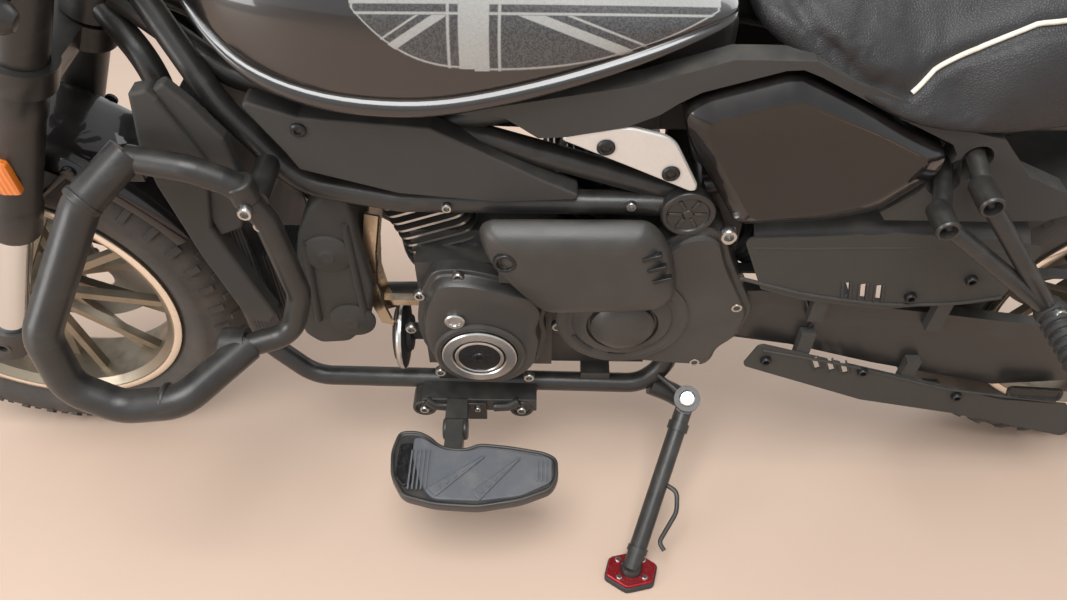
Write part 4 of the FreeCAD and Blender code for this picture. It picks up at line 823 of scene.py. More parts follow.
class MOTORCYCLE_OT_body_panels(bpy.types.Operator):
    """Make the gloss side covers, the silver plates and their screws"""
    bl_idname = "motorcycle.body_panels"
    bl_label = "Body panels"

    def execute(self, context):
        bm = bmesh.new()
        edge = rounded([corner[0] for corner in SIDE_COVER], 12, 4)
        face = rounded([corner[1] for corner in SIDE_COVER], 12, 4)
        rings = []
        for share, y in ((0, 100), (0, 128), (0.12, 133), (0.5, 139), (0.86, 143), (1, 144.5), (1.18, 144.5),
                (1.35, 143.5)):
            rings.append([(a[0] + share * (b[0] - a[0]), y + (a[1] - 540) * -0.02, a[1] + share * (b[1] - a[1]))
                for a, b in zip(edge, face)])
        skin(bm, rings)
        piece("side_cover_shells", bm, "paint", stands_for=("side_covers",), sharp=24.0, both=True)
        slab(bm, rounded(SILVER_PLATE, 7, 3), [(2, 118), (0, 120), (0, 123.5), (1.5, 125)])
        lathe(bm, [(9, 0), (9, 19)], looking((700, 99, 634), LEFT), 20)
        piece("silver_plates", bm, "silver", stands_for=("side_plates",), sharp=30.0, both=True)
        skin(bm, [[(x, y, z) for y, z in rounded([(half, low), (half, high), (-half, high), (-half, low)], 8, 3)]
            for x, half, low, high in ((606, 56, 612, 738), (612, 62, 609, 742), (700, 62, 609, 716),
            (780, 62, 609, 702), (862, 62, 612, 694), (905, 54, 622, 688), (950, 38, 640, 678), (1090, 30, 664, 696),
            (1120, 26, 668, 700))])
        for x in range(630, 840, 40):
            block(bm, (x, -63.5, 615), (x + 5, 63.5, 652))
        piece("air_box", bm, "moulding", bevel=0.001)
        for x, z in ((732, 637), (663, 604)):
            place = looking((x, 124.8, z), LEFT)
            lathe(bm, [(9.5, 0), (9.5, 2), (8, 3.2), (5.5, 3.2), (5, 1.5), (0, 1.5)], place, 20)
        lathe(bm, [(8, 0), (8, 2.5), (6, 4), (4, 4), (3.6, 2), (0, 2)], looking((1040, 119.8, 652), LEFT), 20)
        piece("panel_screws", bm, "dark", both=True)
        return {"FINISHED"}


PRIMARY = [(925, 453), (944, 407), (952, 359), (948, 318), (931, 274), (899, 246), (848, 242), (817, 260), (796, 288),
    (789, 342), (794, 362), (786, 400), (798, 423), (806, 432), (886, 455)]
TOP_COVER = [(861, 542), (852, 548), (680, 549), (664, 531), (649, 498), (637, 440), (651, 416), (684, 411),
    (790, 407), (806, 418), (849, 475), (862, 507), (865, 531)]
PULLEY = [(758, 393), (765, 369), (752, 330), (721, 300), (690, 290), (638, 283), (580, 278), (573, 290), (570, 312),
    (548, 338), (537, 388), (550, 416), (579, 477), (591, 514), (610, 527), (638, 522), (700, 456)]


# Centres seen from the side: the crank's ring, the meeting point of the cylinders' bores, the belt's front pulley
CRANK = turned((874, 0, 321), -90, "X")
BORES = (873, 0, 327)
BELT_PULLEY = (697, 0, 378)


def screw(bm, at, way, radius):
    """A socket head screw with a drilled hexagon."""
    place = looking(at, way)
    lathe(bm, [(radius, 0), (radius, radius * 0.7), (radius * 0.86, radius * 0.95), (radius * 0.55, radius * 0.95)],
        place, 16, capped=False)
    lathe(bm, [(radius * 0.55, radius * 0.95), (radius * 0.5, radius * 0.3), (0, radius * 0.3)], place, 6,
        capped=False)


class MOTORCYCLE_OT_engine_covers(bpy.types.Operator):
    """Make the stepped engine covers, the crank ring, the pulley dome and their screws"""
    bl_idname = "motorcycle.engine_covers"
    bl_label = "Engine covers"

    def execute(self, context):
        bm = bmesh.new()
        slab(bm, rounded(PRIMARY, 16, 4), [(0, 106), (0, 122), (1, 123), (6, 123.5), (8, 126), (9, 134), (12, 139),
            (18, 141), (34, 142)])
        lathe(bm, [(58, 141), (58, 144), (54, 146.5), (49, 146.5), (49, 142)], CRANK, 64)
        piece("primary_shell", bm, "casing", stands_for=("primary_cover",), sharp=32.0)
        ring_body(bm, [(47.5, 143), (47.5, 148.5), (46, 150), (35, 150.6), (33.6, 149), (33.6, 143)], CRANK, 80)
        ring_body(bm, [(31, 145), (31, 149.6), (30, 150.4), (27.6, 150.4), (26.8, 149.6), (26.8, 145)], CRANK, 64)
        lathe(bm, [(12.5, 0), (12.5, 4), (11, 5.5), (7, 5.5), (6, 3), (0, 3)], looking((901, 141.5, 386), LEFT), 32)
        piece("crank_ring_trim", bm, "bright", sharp=40.0)
        lathe(bm, [(33.6, 143), (33.6, 148), (26.8, 148.6), (9, 149.4), (8, 151), (4, 151), (3.6, 149), (0, 149)],
            CRANK, 48)
        piece("crank_hub_cap", bm, "dark", sharp=30.0)
        slab(bm, rounded(TOP_COVER, [8, 8, 22, 16, 20, 22, 20, 14, 16, 14, 18, 14, 10], 5),
            [(0, 130.5), (0, 137), (1.5, 143), (5, 150), (12, 156.5), (24, 161.5), (40, 164.2), (62, 165)])
        piece("top_shell", bm, "casing", stands_for=("top_cover",), soften=1, sharp=180.0)
        for x, z in ((676, 516), (669, 499), (661, 481)):
            block(bm, (-11, 156, -2.6), (11, 163.5, 2.6), turned((x, 0, z), 18, "Y"))
        lathe(bm, [(13, 158), (13, 164.6), (11, 165.4), (9, 165.4), (8, 161), (0, 161)],
            turned((836, 0, 507), -90, "X"), 32)
        piece("top_vents", bm, "dark", bevel=0.0008)
        slab(bm, rounded(PULLEY, 14, 4), [(0, 79), (0, 122), (1, 123), (5, 123.5), (7, 125), (8, 128.5), (11, 131)])
        lathe(bm, [(81, 129), (81, 133.5), (78, 135.5), (70, 136), (66, 134), (62, 134), (58, 138), (50, 142),
            (44, 142), (42, 138), (39.5, 138), (39, 144), (34, 150), (22, 154.5), (0, 156)],
            turned(BELT_PULLEY, -90, "X"), 96)
        piece("pulley_shell", bm, "casing", stands_for=("pulley_cover",), sharp=30.0)
        for first, last in ((22, 58), (-26, -62), (-78, -100)):
            sweep(bm, [(BELT_PULLEY[0] + 64 * math.cos(math.radians(a)), 134.2,
                BELT_PULLEY[2] + 64 * math.sin(math.radians(a))) for a in
                range(first, last, 4 if last > first else -4)], 3.4, 10, 0.5)
        piece("pulley_slots", bm, "rubber", sharp=40.0)
        for x, z in ((894, 447), (944, 408), (961, 345), (776, 353), (930, 262), (812, 252)):
            screw(bm, (x, 118 if x > 940 or x < 780 else 123.6, z), LEFT, 7.5)
        for x, z in ((589, 514), (560, 400), (742, 330), (596, 292)):
            screw(bm, (x, 124, z), LEFT, 7.5)
        screw(bm, (592, 131, 527), LEFT, 10)
        piece("cover_screws", bm, "bright", sharp=30.0)
        for step in range(7):
            angle = 2 * math.pi * step / 7 + 0.3
            screw(bm, (860 + 78 * math.cos(angle), -130, 362 + 78 * math.sin(angle)), (0, -1, 0), 7)
        piece("clutch_screws", bm, "bright", sharp=30.0)
        return {"FINISHED"}


# How far the bores lean forward, in degrees: front cylinder, rear cylinder
LEANS = (20, -35)


class MOTORCYCLE_OT_cylinders(bpy.types.Operator):
    """Make the finned cylinders with bright fin edges, their heads and screws"""
    bl_idname = "motorcycle.cylinders"
    bl_label = "Cylinders"

    def execute(self, context):
        pitch = context.scene.motorcycle_sizes.fin_pitch * 1000
        body = bmesh.new()
        for lean, port in zip(LEANS, SIDES):
            tilt = turned(BORES, lean, "Y")
            lathe(body, [(46, 140), (46, 300)], tilt, 40)
            for step in range(12 if port > 0 else 6):
                self.fin(body, tilt, 238 - (step + 1) * pitch, 49, 76 if port > 0 else 52, 4.2)
            for step in range(3):
                self.fin(body, tilt, 245 + step * 12, 44, 47, 3.0)
            self.stack(body, tilt, [(40, 42, 238), (40, 42, 286), (38, 40, 287), (38, 40, 296), (34, 36, 298)])
            block(body, (35 if port > 0 else -49, -35 if port > 0 else -51, 242),
                (49 if port > 0 else -35, 9 if port > 0 else -8, 280), tilt)
        piece("finned_cylinders", body, "casing bright", stands_for=("cylinders",), sharp=30.0)
        bm = bmesh.new()
        for lean in LEANS:
            tilt = turned(BORES, lean, "Y")
            for x in (-30, 30):
                for y in (-32, 32):
                    place = tilt @ Vector((x, y, 296))
                    screw(bm, place, tilt.to_3x3() @ Vector((0, 0, 1)), 5.5)
            screw(bm, tilt @ Vector((0, 50, 250)), tilt.to_3x3() @ Vector((0, 1, 0.2)), 6)
        piece("head_screws", bm, "bright", sharp=30.0)
        return {"FINISHED"}

    @staticmethod
    def stack(bm, place, rows):
        """Rounded blocks piled up: half length, half width, height."""
        rings = []
        for length, width, height in rows:
            outline = rounded([(length, width), (-length, width), (-length, -width), (length, -width)], 10, 4)
            rings.append([place @ Vector((x, y, height)) for x, y in outline])
        skin(bm, rings)

    @staticmethod
    def fin(bm, place, low, length, width, thick):
        """One cooling fin: a rounded plate with a bright machined edge."""
        outline = rounded([(length, width), (-length, width), (-length, -width), (length, -width)], 20, 6)
        inner = grown(outline, -2.0)
        rows = ((inner, low), (outline, low + 0.5), (outline, low + thick - 0.5), (inner, low + thick))
        made = skin(bm, [[place @ Vector((x, y, z)) for x, y in ring] for ring, z in rows])
        for face in {f for v in made[1] for f in v.link_faces if all(w in made[1] or w in made[2] for w in f.verts)}:
            face.material_index = 1


def node_tree(name, inputs):
    """A geometry node tree with inputs of name, kind and value, a finish and a geometry output."""
    tree = bpy.data.node_groups.new(name, "GeometryNodeTree")
    for label, kind, value in inputs:
        tree.interface.new_socket(label, in_out="INPUT", socket_type="NodeSocket" + kind).default_value = value
    tree.interface.new_socket("Finish", in_out="INPUT", socket_type="NodeSocketMaterial")
    tree.interface.new_socket("Geometry", in_out="OUTPUT", socket_type="NodeSocketGeometry")
    return tree, add(tree, "NodeGroupInput").outputs


def dressed(tree, given, copies):
    """Ends a tree: its copies made real, with their finish."""
    real = add(tree, "GeometryNodeRealizeInstances", {0: copies}).outputs[0]
    skinned = add(tree, "GeometryNodeSetMaterial", {"Geometry": real, "Material": given["Finish"]}).outputs[0]
    tree.links.new(skinned, add(tree, "NodeGroupOutput").inputs[0])
    return tree


def tread_tree(radius, half, rows):
    """A geometry node tree that sets slanted tread blocks round a tyre's crown on both shoulders."""
    tree, given = node_tree("Tread blocks %d" % radius, (("Radius", "Float", radius), ("Half width", "Float", half),
        ("Blocks", "Int", TREAD_BLOCKS)))
    whole = add(tree, "GeometryNodeJoinGeometry")
    for side, (tilt, size, shift) in rows:
        block_mesh = add(tree, "GeometryNodeMeshCube", {"Size": size}).outputs["Mesh"]
        out = math.radians(tilt)
        flat = maths(tree, "SUBTRACT", given["Radius"], given["Half width"])
        up = maths(tree, "MULTIPLY_ADD", given["Half width"], math.cos(out), flat)
        aside = maths(tree, "MULTIPLY", given["Half width"], side * math.sin(out))
        place = add(tree, "ShaderNodeCombineXYZ", {1: aside, 2: up}).outputs[0]
        laid = add(tree, "GeometryNodeTransform", {"Geometry": block_mesh, "Translation": place,
            "Rotation": (-side * out, 0.0, 0.0)}).outputs[0]
        turned_block = add(tree, "GeometryNodeTransform", {"Geometry": laid, "Rotation": (0.0, shift, 0.0)}).outputs[0]
        points = add(tree, "GeometryNodeMeshLine", {"Count": given["Blocks"], "Offset": (0.0, 0.0, 0.0)},
            mode="OFFSET").outputs[0]
        index = add(tree, "GeometryNodeInputIndex").outputs[0]
        angle = maths(tree, "MULTIPLY", maths(tree, "DIVIDE", index, given["Blocks"]), 2 * math.pi)
        spin = add(tree, "ShaderNodeCombineXYZ", {1: angle}).outputs[0]
        copies = add(tree, "GeometryNodeInstanceOnPoints", {"Points": points, "Instance": turned_block,
            "Rotation": spin}).outputs[0]
        tree.links.new(copies, whole.inputs[0])
    return dressed(tree, given, whole.outputs[0])


def grown_by_nodes(context, name, tree, values, place, body, kind):
    """Evaluates a node tree once and keeps its result as a plain finished mesh on a body."""
    seed = placed(name + "_seed", bpy.data.meshes.new(name + "_seed"))
    maker = seed.modifiers.new("Maker", "NODES")
    maker.node_group = tree
    values["Finish"] = finishes()[kind]
    for item in tree.interface.items_tree:
        if item.in_out == "INPUT" and item.name in values:
            maker[item.identifier] = values[item.name]
    mesh = bpy.data.meshes.new_from_object(seed.evaluated_get(context.evaluated_depsgraph_get()))
    bpy.data.objects.remove(seed)
    mesh.transform(PARK @ place)
    mesh.name = name
    if not mesh.materials:
        mesh.materials.append(values["Finish"])
    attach(placed(name, mesh), body)


TREAD_BLOCKS = 44
TREAD = [(side, row) for side in SIDES for row in ((62, (9.0, 20.0, 5.0), 0.0 if side > 0 else 0.07),
    (38, (8.5, 19.0, 5.0), 0.05 if side > 0 else 0.12), (14, (11.0, 13.0, 4.0), 0.02 if side > 0 else 0.09))]


def coil(place, radius, turns, start, rise, steps):
    """The line of a spring about a place's Z axis."""
    return [place @ Vector((radius * math.cos(t), radius * math.sin(t), start + t / (2 * math.pi * turns) * rise))
        for t in (2 * math.pi * k / steps for k in range(turns * steps + 1))]


class MOTORCYCLE_OT_wheels(bpy.types.Operator):
    """Make the tyres with their tread, the turned rim lips and the disc bolts"""
    bl_idname = "motorcycle.wheels"
    bl_label = "Wheels"

    def execute(self, context):
        for body, place, radius, half, rim_half in (("front_wheel", FRONT_AXLE, *FRONT_TYRE, 44),
                ("rear_wheel", REAR_AXLE, *REAR_TYRE, 56)):
            wheel = place @ Matrix.Rotation(math.radians(-90), 4, "X")
            short = body.split("_")[0]
            bm = bmesh.new()
            flat = radius - half
            crown = [(flat + (half - 4) * math.cos(a), (half - 3) * math.sin(a))
                for a in (math.radians(t) for t in range(-84, 85, 12))]
            section = [(192, -rim_half + 0.4), (206, -rim_half + 0.4), (222, -half + 5), (flat - 8, -half + 1.5)]
            section += [(flat + 4, -half + 2)] + crown + [(flat + 4, half - 2), (flat - 8, half - 1.5),
                (222, half - 5), (206, rim_half - 0.4), (192, rim_half - 0.4)]
            ring_body(bm, section, wheel, 120)
            piece(short + "_tyre_carcass", bm, "tyre", body=body, stands_for=(short + "_tyre",), sharp=40.0)
            tree = tread_tree(radius - 3.4, half - 1.5, TREAD)
            grown_by_nodes(context, short + "_tread", tree, {"Blocks": TREAD_BLOCKS}, place, body, "tyre")
            for side in SIDES:
                lip = place @ Matrix.Rotation(math.radians(-90 * side), 4, "X")
                ring_body(bm, [(192, rim_half + 5), (196, rim_half + 6.6), (203, rim_half + 6.8),
                    (204.6, rim_half + 5.5), (204.6, rim_half + 3.5), (192, rim_half + 3.5)], lip, 128)
            piece(short + "_rim_lips", bm, "turned", body=body, sharp=50.0)
            for step in range(6):
                angle = math.radians(60 * step + 15)
                reach = 47 if body == "front_wheel" else 50
                disc_side = -67.2 if body == "front_wheel" else -71.2
                at = place @ Vector((reach * math.cos(angle), disc_side, reach * math.sin(angle)))
                lathe(bm, [(7, 0), (7, 3), (5.5, 4.4), (3, 4.4), (3, 2.5), (0, 2.5)], looking(at, (0, -1, 0)), 12)
            piece(short + "_disc_bolts", bm, "bright", body=body)
        return {"FINISHED"}


def in_steer(*point):
    """A point of the steering frame in the bike frame."""
    return STEER @ Vector(point)


# Radii about the front axle: inside of the fender, and where its stays are bolted
FENDER_INNER = 313
STAY_REACH = 306


class MOTORCYCLE_OT_fork(bpy.types.Operator):
    """Make the fork's shrouds, stanchions and reflectors, and the front fender with its stays"""
    bl_idname = "motorcycle.fork"
    bl_label = "Fork and front fender"

    def execute(self, context):
        bm, steel = bmesh.new(), bmesh.new()
        for side in SIDES:
            leg = STEER @ Matrix.Translation((FORK_OFFSET, side * 100, 0))
            lathe(steel, [(20.5, 31), (20.5, 214), (0, 214)], leg, 48)
            lathe(bm, [(22, 216), (27, 217), (29.5, 222), (29.5, 262), (28, 268), (27, 272), (27, 400), (28.5, 404),
                (28.5, 440), (27, 444), (27, 668), (22, 671), (19, 671), (19, 680), (16, 682), (0, 682)], leg, 48)
        piece("fork_shrouds", bm, "powder", body="steering", stands_for=("fork_tubes",), sharp=30.0)
        piece("fork_stanchions", steel, "chrome", body="steering", stands_for=("stanchions",))
        for side in SIDES:
            at = in_steer(30, side * 129.8, 330)
            place = looking(at, (0, side, 0), (0, 0, 1))
            outline = rounded([(-12, -22), (12, -22), (12, 22), (-12, 22)], 5, 3)
            skin(bm, [[place @ Vector((x * k, z * k, y)) for x, z in outline]
                for k, y in ((1, -3.5), (1, 2.5), (0.92, 4.5), (0.6, 5.2))])
        piece("fork_reflectors", bm, "amber", body="steering")
        angles = [math.radians(-62 + 110 * step / 56) for step in range(57)]
        skin(bm, [[(WHEELBASE + (FENDER_INNER + lift) * math.sin(angle), y,
            FRONT_TYRE[0] + (FENDER_INNER + lift) * math.cos(angle)) for lift, y in self.dome()] for angle in angles])
        piece("fender_skin", bm, "paint", body="steering", stands_for=("front_fender",), sharp=40.0)
        for side in SIDES:
            for angle in (-34, 22):
                a = math.radians(angle)
                top = (WHEELBASE + STAY_REACH * math.sin(a), side * 69.5, FRONT_TYRE[0] + STAY_REACH * math.cos(a))
                low = in_steer(28, side * 88, 236)
                sweep(bm, bent([top, Vector(top).lerp(low, 0.4) + Vector((0, side * 6, 0)), low], 20), 5, 10, flat=0.6)
                lathe(bm, [(8, -1), (8, 3), (6, 4.5), (0, 4.5)], looking(top, (0, side, 0)), 16)
        piece("fender_stays", bm, "powder", body="steering")
        return {"FINISHED"}

    @staticmethod
    def dome():
        """The fender's closed section: rise above its inner radius, and place across."""
        out = [(-20, 68), (-12, 68.5), (-4, 66), (3, 58), (7, 44), (9, 25), (9.8, 0)]
        inside = [(6.2, 0), (5.4, 25), (3.4, 42), (0, 54.5), (-6, 62), (-12, 64.5), (-20, 64.5)]
        return out + [(r, -y) for r, y in reversed(out[:-1])] + [(r, -y) for r, y in reversed(inside)] + inside[1:]


class MOTORCYCLE_OT_head_unit(bpy.types.Operator):
    """Make the headlight, indicators, mirrors, dial, grips and levers"""
    bl_idname = "motorcycle.head_unit"
    bl_label = "Lamps and controls"

    def execute(self, context):
        lamp = in_steer(142, 0, 504)
        front = turned((lamp.x - 45, 0, lamp.z), 90, "Y")
        bm = bmesh.new()
        lathe(bm, [(0, 0), (30, 2), (62, 14), (80, 38), (87, 68), (88, 92), (90, 94), (90, 103), (87, 105), (84, 104),
            (82, 97), (82, 92), (0, 92)], front, 72)
        block(bm, (38, -22, 450), (104, 22, 468), STEER)
        piece("headlight_bucket", bm, "powder", body="steering", stands_for=("headlight",), sharp=32.0)
        lathe(bm, [(81, 93), (78, 97), (60, 101), (30, 103.5), (0, 104)], front, 64, capped=False)
        lathe(bm, [(81, 93), (0, 92.5)], front, 64, capped=False)
        piece("headlight_lens", bm, "glass", body="steering", sharp=60.0)
        for side in SIDES:
            place = STEER @ turned((8, side * 162, 560), 90, "Y")
            lathe(bm, [(0, 0), (8, 1), (14, 8), (16, 18), (16, 40)], place, 32)
            lathe(bm, [(16, 40), (14.5, 44), (9, 47), (0, 48)], place, 32, 1, capped=False)
            sweep(bm, [in_steer(30, side * 126, 560), in_steer(30, side * 150, 560)], 6, 14)
        piece("front_indicator_lamps", bm, "powder amber", body="steering", stands_for=("front_indicators",),
            sharp=32.0)
        bar = self.bar_points()
        end = bar[2]
        way = (bar[1] - end).normalized()
        for side in SIDES:
            flip = Matrix.Scale(side, 4, LEFT)
            profile = [(0, 0), (14, 0), (17, 3), (17, 8)]
            for low in range(9, 121, 8):
                profile += [(15.4, low), (15.4, low + 2), (16.8, low + 3), (16.8, low + 7)]
            profile += [(18, 122), (18, 127), (0, 127)]
            lathe(bm, profile, looking(flip @ (end - way * 2), flip.to_3x3() @ way), 32)
        piece("grip_rubbers", bm, "rubber", body="steering", sharp=40.0)
        glasses = bmesh.new()
        for side in SIDES:
            flip = Matrix.Scale(side, 4, LEFT)
            place = looking(flip @ (end + way * 126), flip.to_3x3() @ way)
            lathe(bm, [(0, 0), (20, 0), (22, 2), (22, 20), (23, 21), (23, 24), (22, 25), (22, 43), (19, 46), (0, 46)],
                place, 28)
            path = bent([flip @ (end + way * 148 + Vector((10, 0, 0))), flip @ (end + way * 142 + Vector((52, 0, -4))),
                flip @ (end + way * 6 + Vector((62, 0, -8)))], 22, 6)
            sweep(bm, path, [6.2 - 2.2 * i / len(path) for i in range(len(path))], 12, 0.7)
            stem = end + way * 149 + Vector((0, 0, 12))
            glass = stem + Vector((18, 26, 128))
            sweep(bm, bent([flip @ stem, flip @ (stem + Vector((6, -4, 50))), flip @ glass], 25, 6), 5, 12)
            face = looking(flip @ (glass + Vector((8, 0, 0))), flip.to_3x3() @ Vector((-1, -0.08, 0)))
            lathe(bm, [(0, -1), (30, 0), (46, 5), (52, 12), (52, 16), (49, 16), (49, 14), (0, 14)], face, 48)
            lathe(glasses, [(0, 14.2), (49, 14.2), (48.6, 15.2), (0, 15.4)], face, 48)
        piece("switches_and_mirror_arms", bm, "powder", body="steering", stands_for=("grips", "mirrors"), sharp=32.0)
        piece("mirror_glasses", glasses, "mirror", body="steering", sharp=60.0)
        dial = STEER @ Matrix.Translation((64, 0, 696))
        lathe(bm, [(0, 0), (34, 0), (40, 6), (42, 14), (42, 27), (40, 30), (37, 30), (36, 27), (0, 27)], dial, 56)
        block(bm, (30, -12, 660), (44, 12, 698), STEER)
        piece("dial_pod", bm, "powder", body="steering", stands_for=("instrument",), sharp=32.0)
        lathe(bm, [(0, 27.3), (36, 27.3), (35, 28.6), (0, 29.4)], dial, 48)
        piece("dial_glass", bm, "dial", body="steering", sharp=60.0)
        return {"FINISHED"}

    @staticmethod
    def bar_points():
        """Middle, bend and end of the left half of the bar."""
        middle = in_steer(0, 0, 705)
        return [Vector((middle.x, 112, middle.z)), Vector((middle.x - 38, 236, middle.z + 78)),
            Vector((middle.x - 126, 418, middle.z + 84))]


FAN_HOUSING = [(1083, 481), (1062, 524), (1042, 544), (1017, 546), (1013, 516), (1014, 474), (1007, 389), (1023, 316),
    (1054, 282), (1094, 278), (1112, 298), (1106, 390)]


class MOTORCYCLE_OT_radiator(bpy.types.Operator):
    """Make the radiator's fins, the fan housing, the exhaust pipe's shield and the horn"""
    bl_idname = "motorcycle.radiator"
    bl_label = "Radiator, fan housing and horn"

    def execute(self, context):
        place = turned((1157, 0, 485), 2.5, "Y")
        bm = bmesh.new()
        for step in range(31):
            z = -160 + step * 10.6
            block(bm, (15.5, -98, z), (18.5, 98, z + 2.2), place)
        for y in (-103, 97):
            block(bm, (-17, y, -165), (19, y + 6, 165), place)
        for z in (-166, 160):
            block(bm, (-17, -103, z), (19, 103, z + 6), place)
        piece("radiator_fins", bm, "dark", bevel=0.0005)
        for z, x, y in ((452, 1052, 20), (330, 1042, 0)):
            lathe(bm, [(30, 0), (30, 3), (26, 6), (12, 7), (8, 10), (0, 10)], looking((x, 94.5, z), LEFT), 32)
        for points in (((1024, 97, 500), (1024, 97, 330)), ((1076, 97, 470), (1086, 97, 330))):
            sweep(bm, points, 5, 10, 0.8)
        slab(bm, rounded(FAN_HOUSING, 8, 3), [(-0.4, 19.6), (-0.4, 88), (0.6, 92), (3, 94.6), (6, 95.4)])
        piece("fan_housing_shell", bm, "moulding")
        rows = []
        for x, z in ((1000, 303), (1008, 340), (1012, 388), (1006, 440), (994, 500)):
            rows.append([(x - 8, 46, z), (x + 9, 52, z), (x + 10, 78, z), (x - 7, 82, z), (x - 9, 80, z),
                (x + 8, 76, z), (x + 7, 54, z), (x - 9, 48, z)])
        skin(bm, rows)
        block(bm, (950, 58, 330), (1004, 70, 340))
        piece("pipe_shield", bm, "shield", sharp=30.0)
        horn = turned((974, 62, 264), 90, "Y")
        lathe(bm, [(0, 0), (24, 0), (28, 5), (46, 8), (50, 10), (50, 15), (47, 17), (0, 17)], horn, 56)
        lathe(bm, [(44, 17), (38, 22), (30, 24), (12, 22), (10, 26), (0, 26)], horn, 48)
        block(bm, (952, 52, 254), (978, 66, 274))
        piece("horn_body", bm, "rubber", stands_for=("horn",), sharp=30.0)
        ring_body(bm, [(50.2, 9), (51, 12), (50.2, 15.5), (47.5, 17.3), (46, 17.2), (47, 15)], horn, 64)
        piece("horn_ring", bm, "bright", sharp=60.0)
        return {"FINISHED"}


class MOTORCYCLE_OT_crash_bars(bpy.types.Operator):
    """Make the crash bars' weld collars, clamps, joint caps and bolts"""
    bl_idname = "motorcycle.crash_bars"
    bl_label = "Crash bar fittings"

    def execute(self, context):
        bm = bmesh.new()
        for at, way, radius, length in (((1242, 187, 619), (0.6, 0.6, -0.4), 20.5, 10),
                ((1205, 274, 399), (1, 0.02, 0.05), 20.3, 7), ((1098, 156, 590), (0.2, 0, 1), 16, 26)):
            lathe(bm, [(radius - 2, 0), (radius, 2), (radius, length - 2), (radius - 2, length)], looking(at, way), 32)
        lathe(bm, [(21, 22), (21, 27), (18, 30), (0, 31)], looking((1135, 200, 405), (1, 0, 0)), 32)
        for y in (153, 159):
            block(bm, (1192, y, 618), (1222, y + 3, 646))
        piece("crash_bar_collars", bm, "powder", bevel=0.0008, both=True)
        for at, way in (((1222, 160, 636), (0.3, 1, 0)), ((1096, 172, 590), (0, 1, 0)), ((1090, 160, 562), (0, 1, 0))):
            screw(bm, at, way, 8)
        piece("crash_bar_bolts", bm, "bright", sharp=30.0, both=True)
        return {"FINISHED"}


# Belt: centres and radii of its rear and front pulleys, how far out the teeth lie, and their pitch
BELT_ENDS = ((0, 0, 310), (704, 0, 379))
PULLEY_RADII = (104, 44)
TOOTH_LINE = 2.2
BELT_PITCH = 8


class MOTORCYCLE_OT_belt_guards(bpy.types.Operator):
    """Make the belt guards' curved top, ridges, slot rims and screws, and the belt's teeth"""
    bl_idname = "motorcycle.belt_guards"
    bl_label = "Belt guards and belt"

    def execute(self, context):
        bm = bmesh.new()
        rows = []
        for x, low in ((560, 500), (500, 500), (430, 502), (360, 503), (300, 500), (252, 494)):
            rows.append([(x, 131, low), (x, 126, low + 14), (x, 112, low + 24), (x, 86, low + 28), (x, 86, low + 25),
                (x, 110, low + 21), (x, 122, low + 12), (x, 127, low)])
        skin(bm, rows)
        sweep(bm, bent([(566, 129.5, 452), (480, 130, 424), (380, 130, 408), (300, 130, 412), (252, 130, 424)], 30),
            3.2, 8, 0.8)
        sweep(bm, bent([(512, 130, 318), (400, 130, 290), (250, 130, 238), (92, 130, 212)], 30), 2.6, 8, 0.8)
        for x, z, slant in ((437, 432, 12), (417, 430, 12), (398, 428, 12), (438, 292, 24), (418, 288, 24),
                (399, 283, 24)):
            turn = turned((x, 0, z), slant, "Y")
            for low, high in (((-6, 129, -15), (-3.4, 132, 15)), ((3.4, 129, -15), (6, 132, 15))):
                block(bm, low, high, turn)
        piece("guard_ridges", bm, "moulding", bevel=0.0008)
        outline = rounded([(170, 246), (92, 240), (88, 214), (164, 222)], 10, 4)
        stepped(bm, outline, ((0, 128), (0, 131.5), (2, 132), (4, 131), (5, 129.6)), 1)
        piece("guard_recess", bm, "dark", sharp=30.0)
        for x, y, z in ((360, 130, 425), (300, 130, 455), (374, 130, 278), (505, 130, 300), (232, 130, 225)):
            screw(bm, (x, y, z), LEFT, 7)
        piece("guard_screws", bm, "dark", sharp=30.0)
        rear, front = (Vector(end) for end in BELT_ENDS)
        along = (front - rear).normalized()
        slope = math.atan2(along.z, along.x)
        spread = math.acos((PULLEY_RADII[0] - PULLEY_RADII[1]) / (front - rear).length)
        for side in SIDES:
            a = slope + side * spread
            off = Vector((math.cos(a), 0, math.sin(a)))
            start, end = rear + off * (PULLEY_RADII[0] + TOOTH_LINE), front + off * (PULLEY_RADII[1] + TOOTH_LINE)
            count = int((end - start).length / BELT_PITCH)
            run = (end - start).normalized()
            place = Matrix((run, Vector(LEFT), run.cross(Vector(LEFT)))).transposed().to_4x4()
            for step in range(1, count):
                at = Matrix.Translation(start.lerp(end, step / count)) @ place
                block(bm, (-2, 79, -1.4), (2, 92, 1.4), at)
        piece("belt_teeth", bm, "rubber")
        return {"FINISHED"}


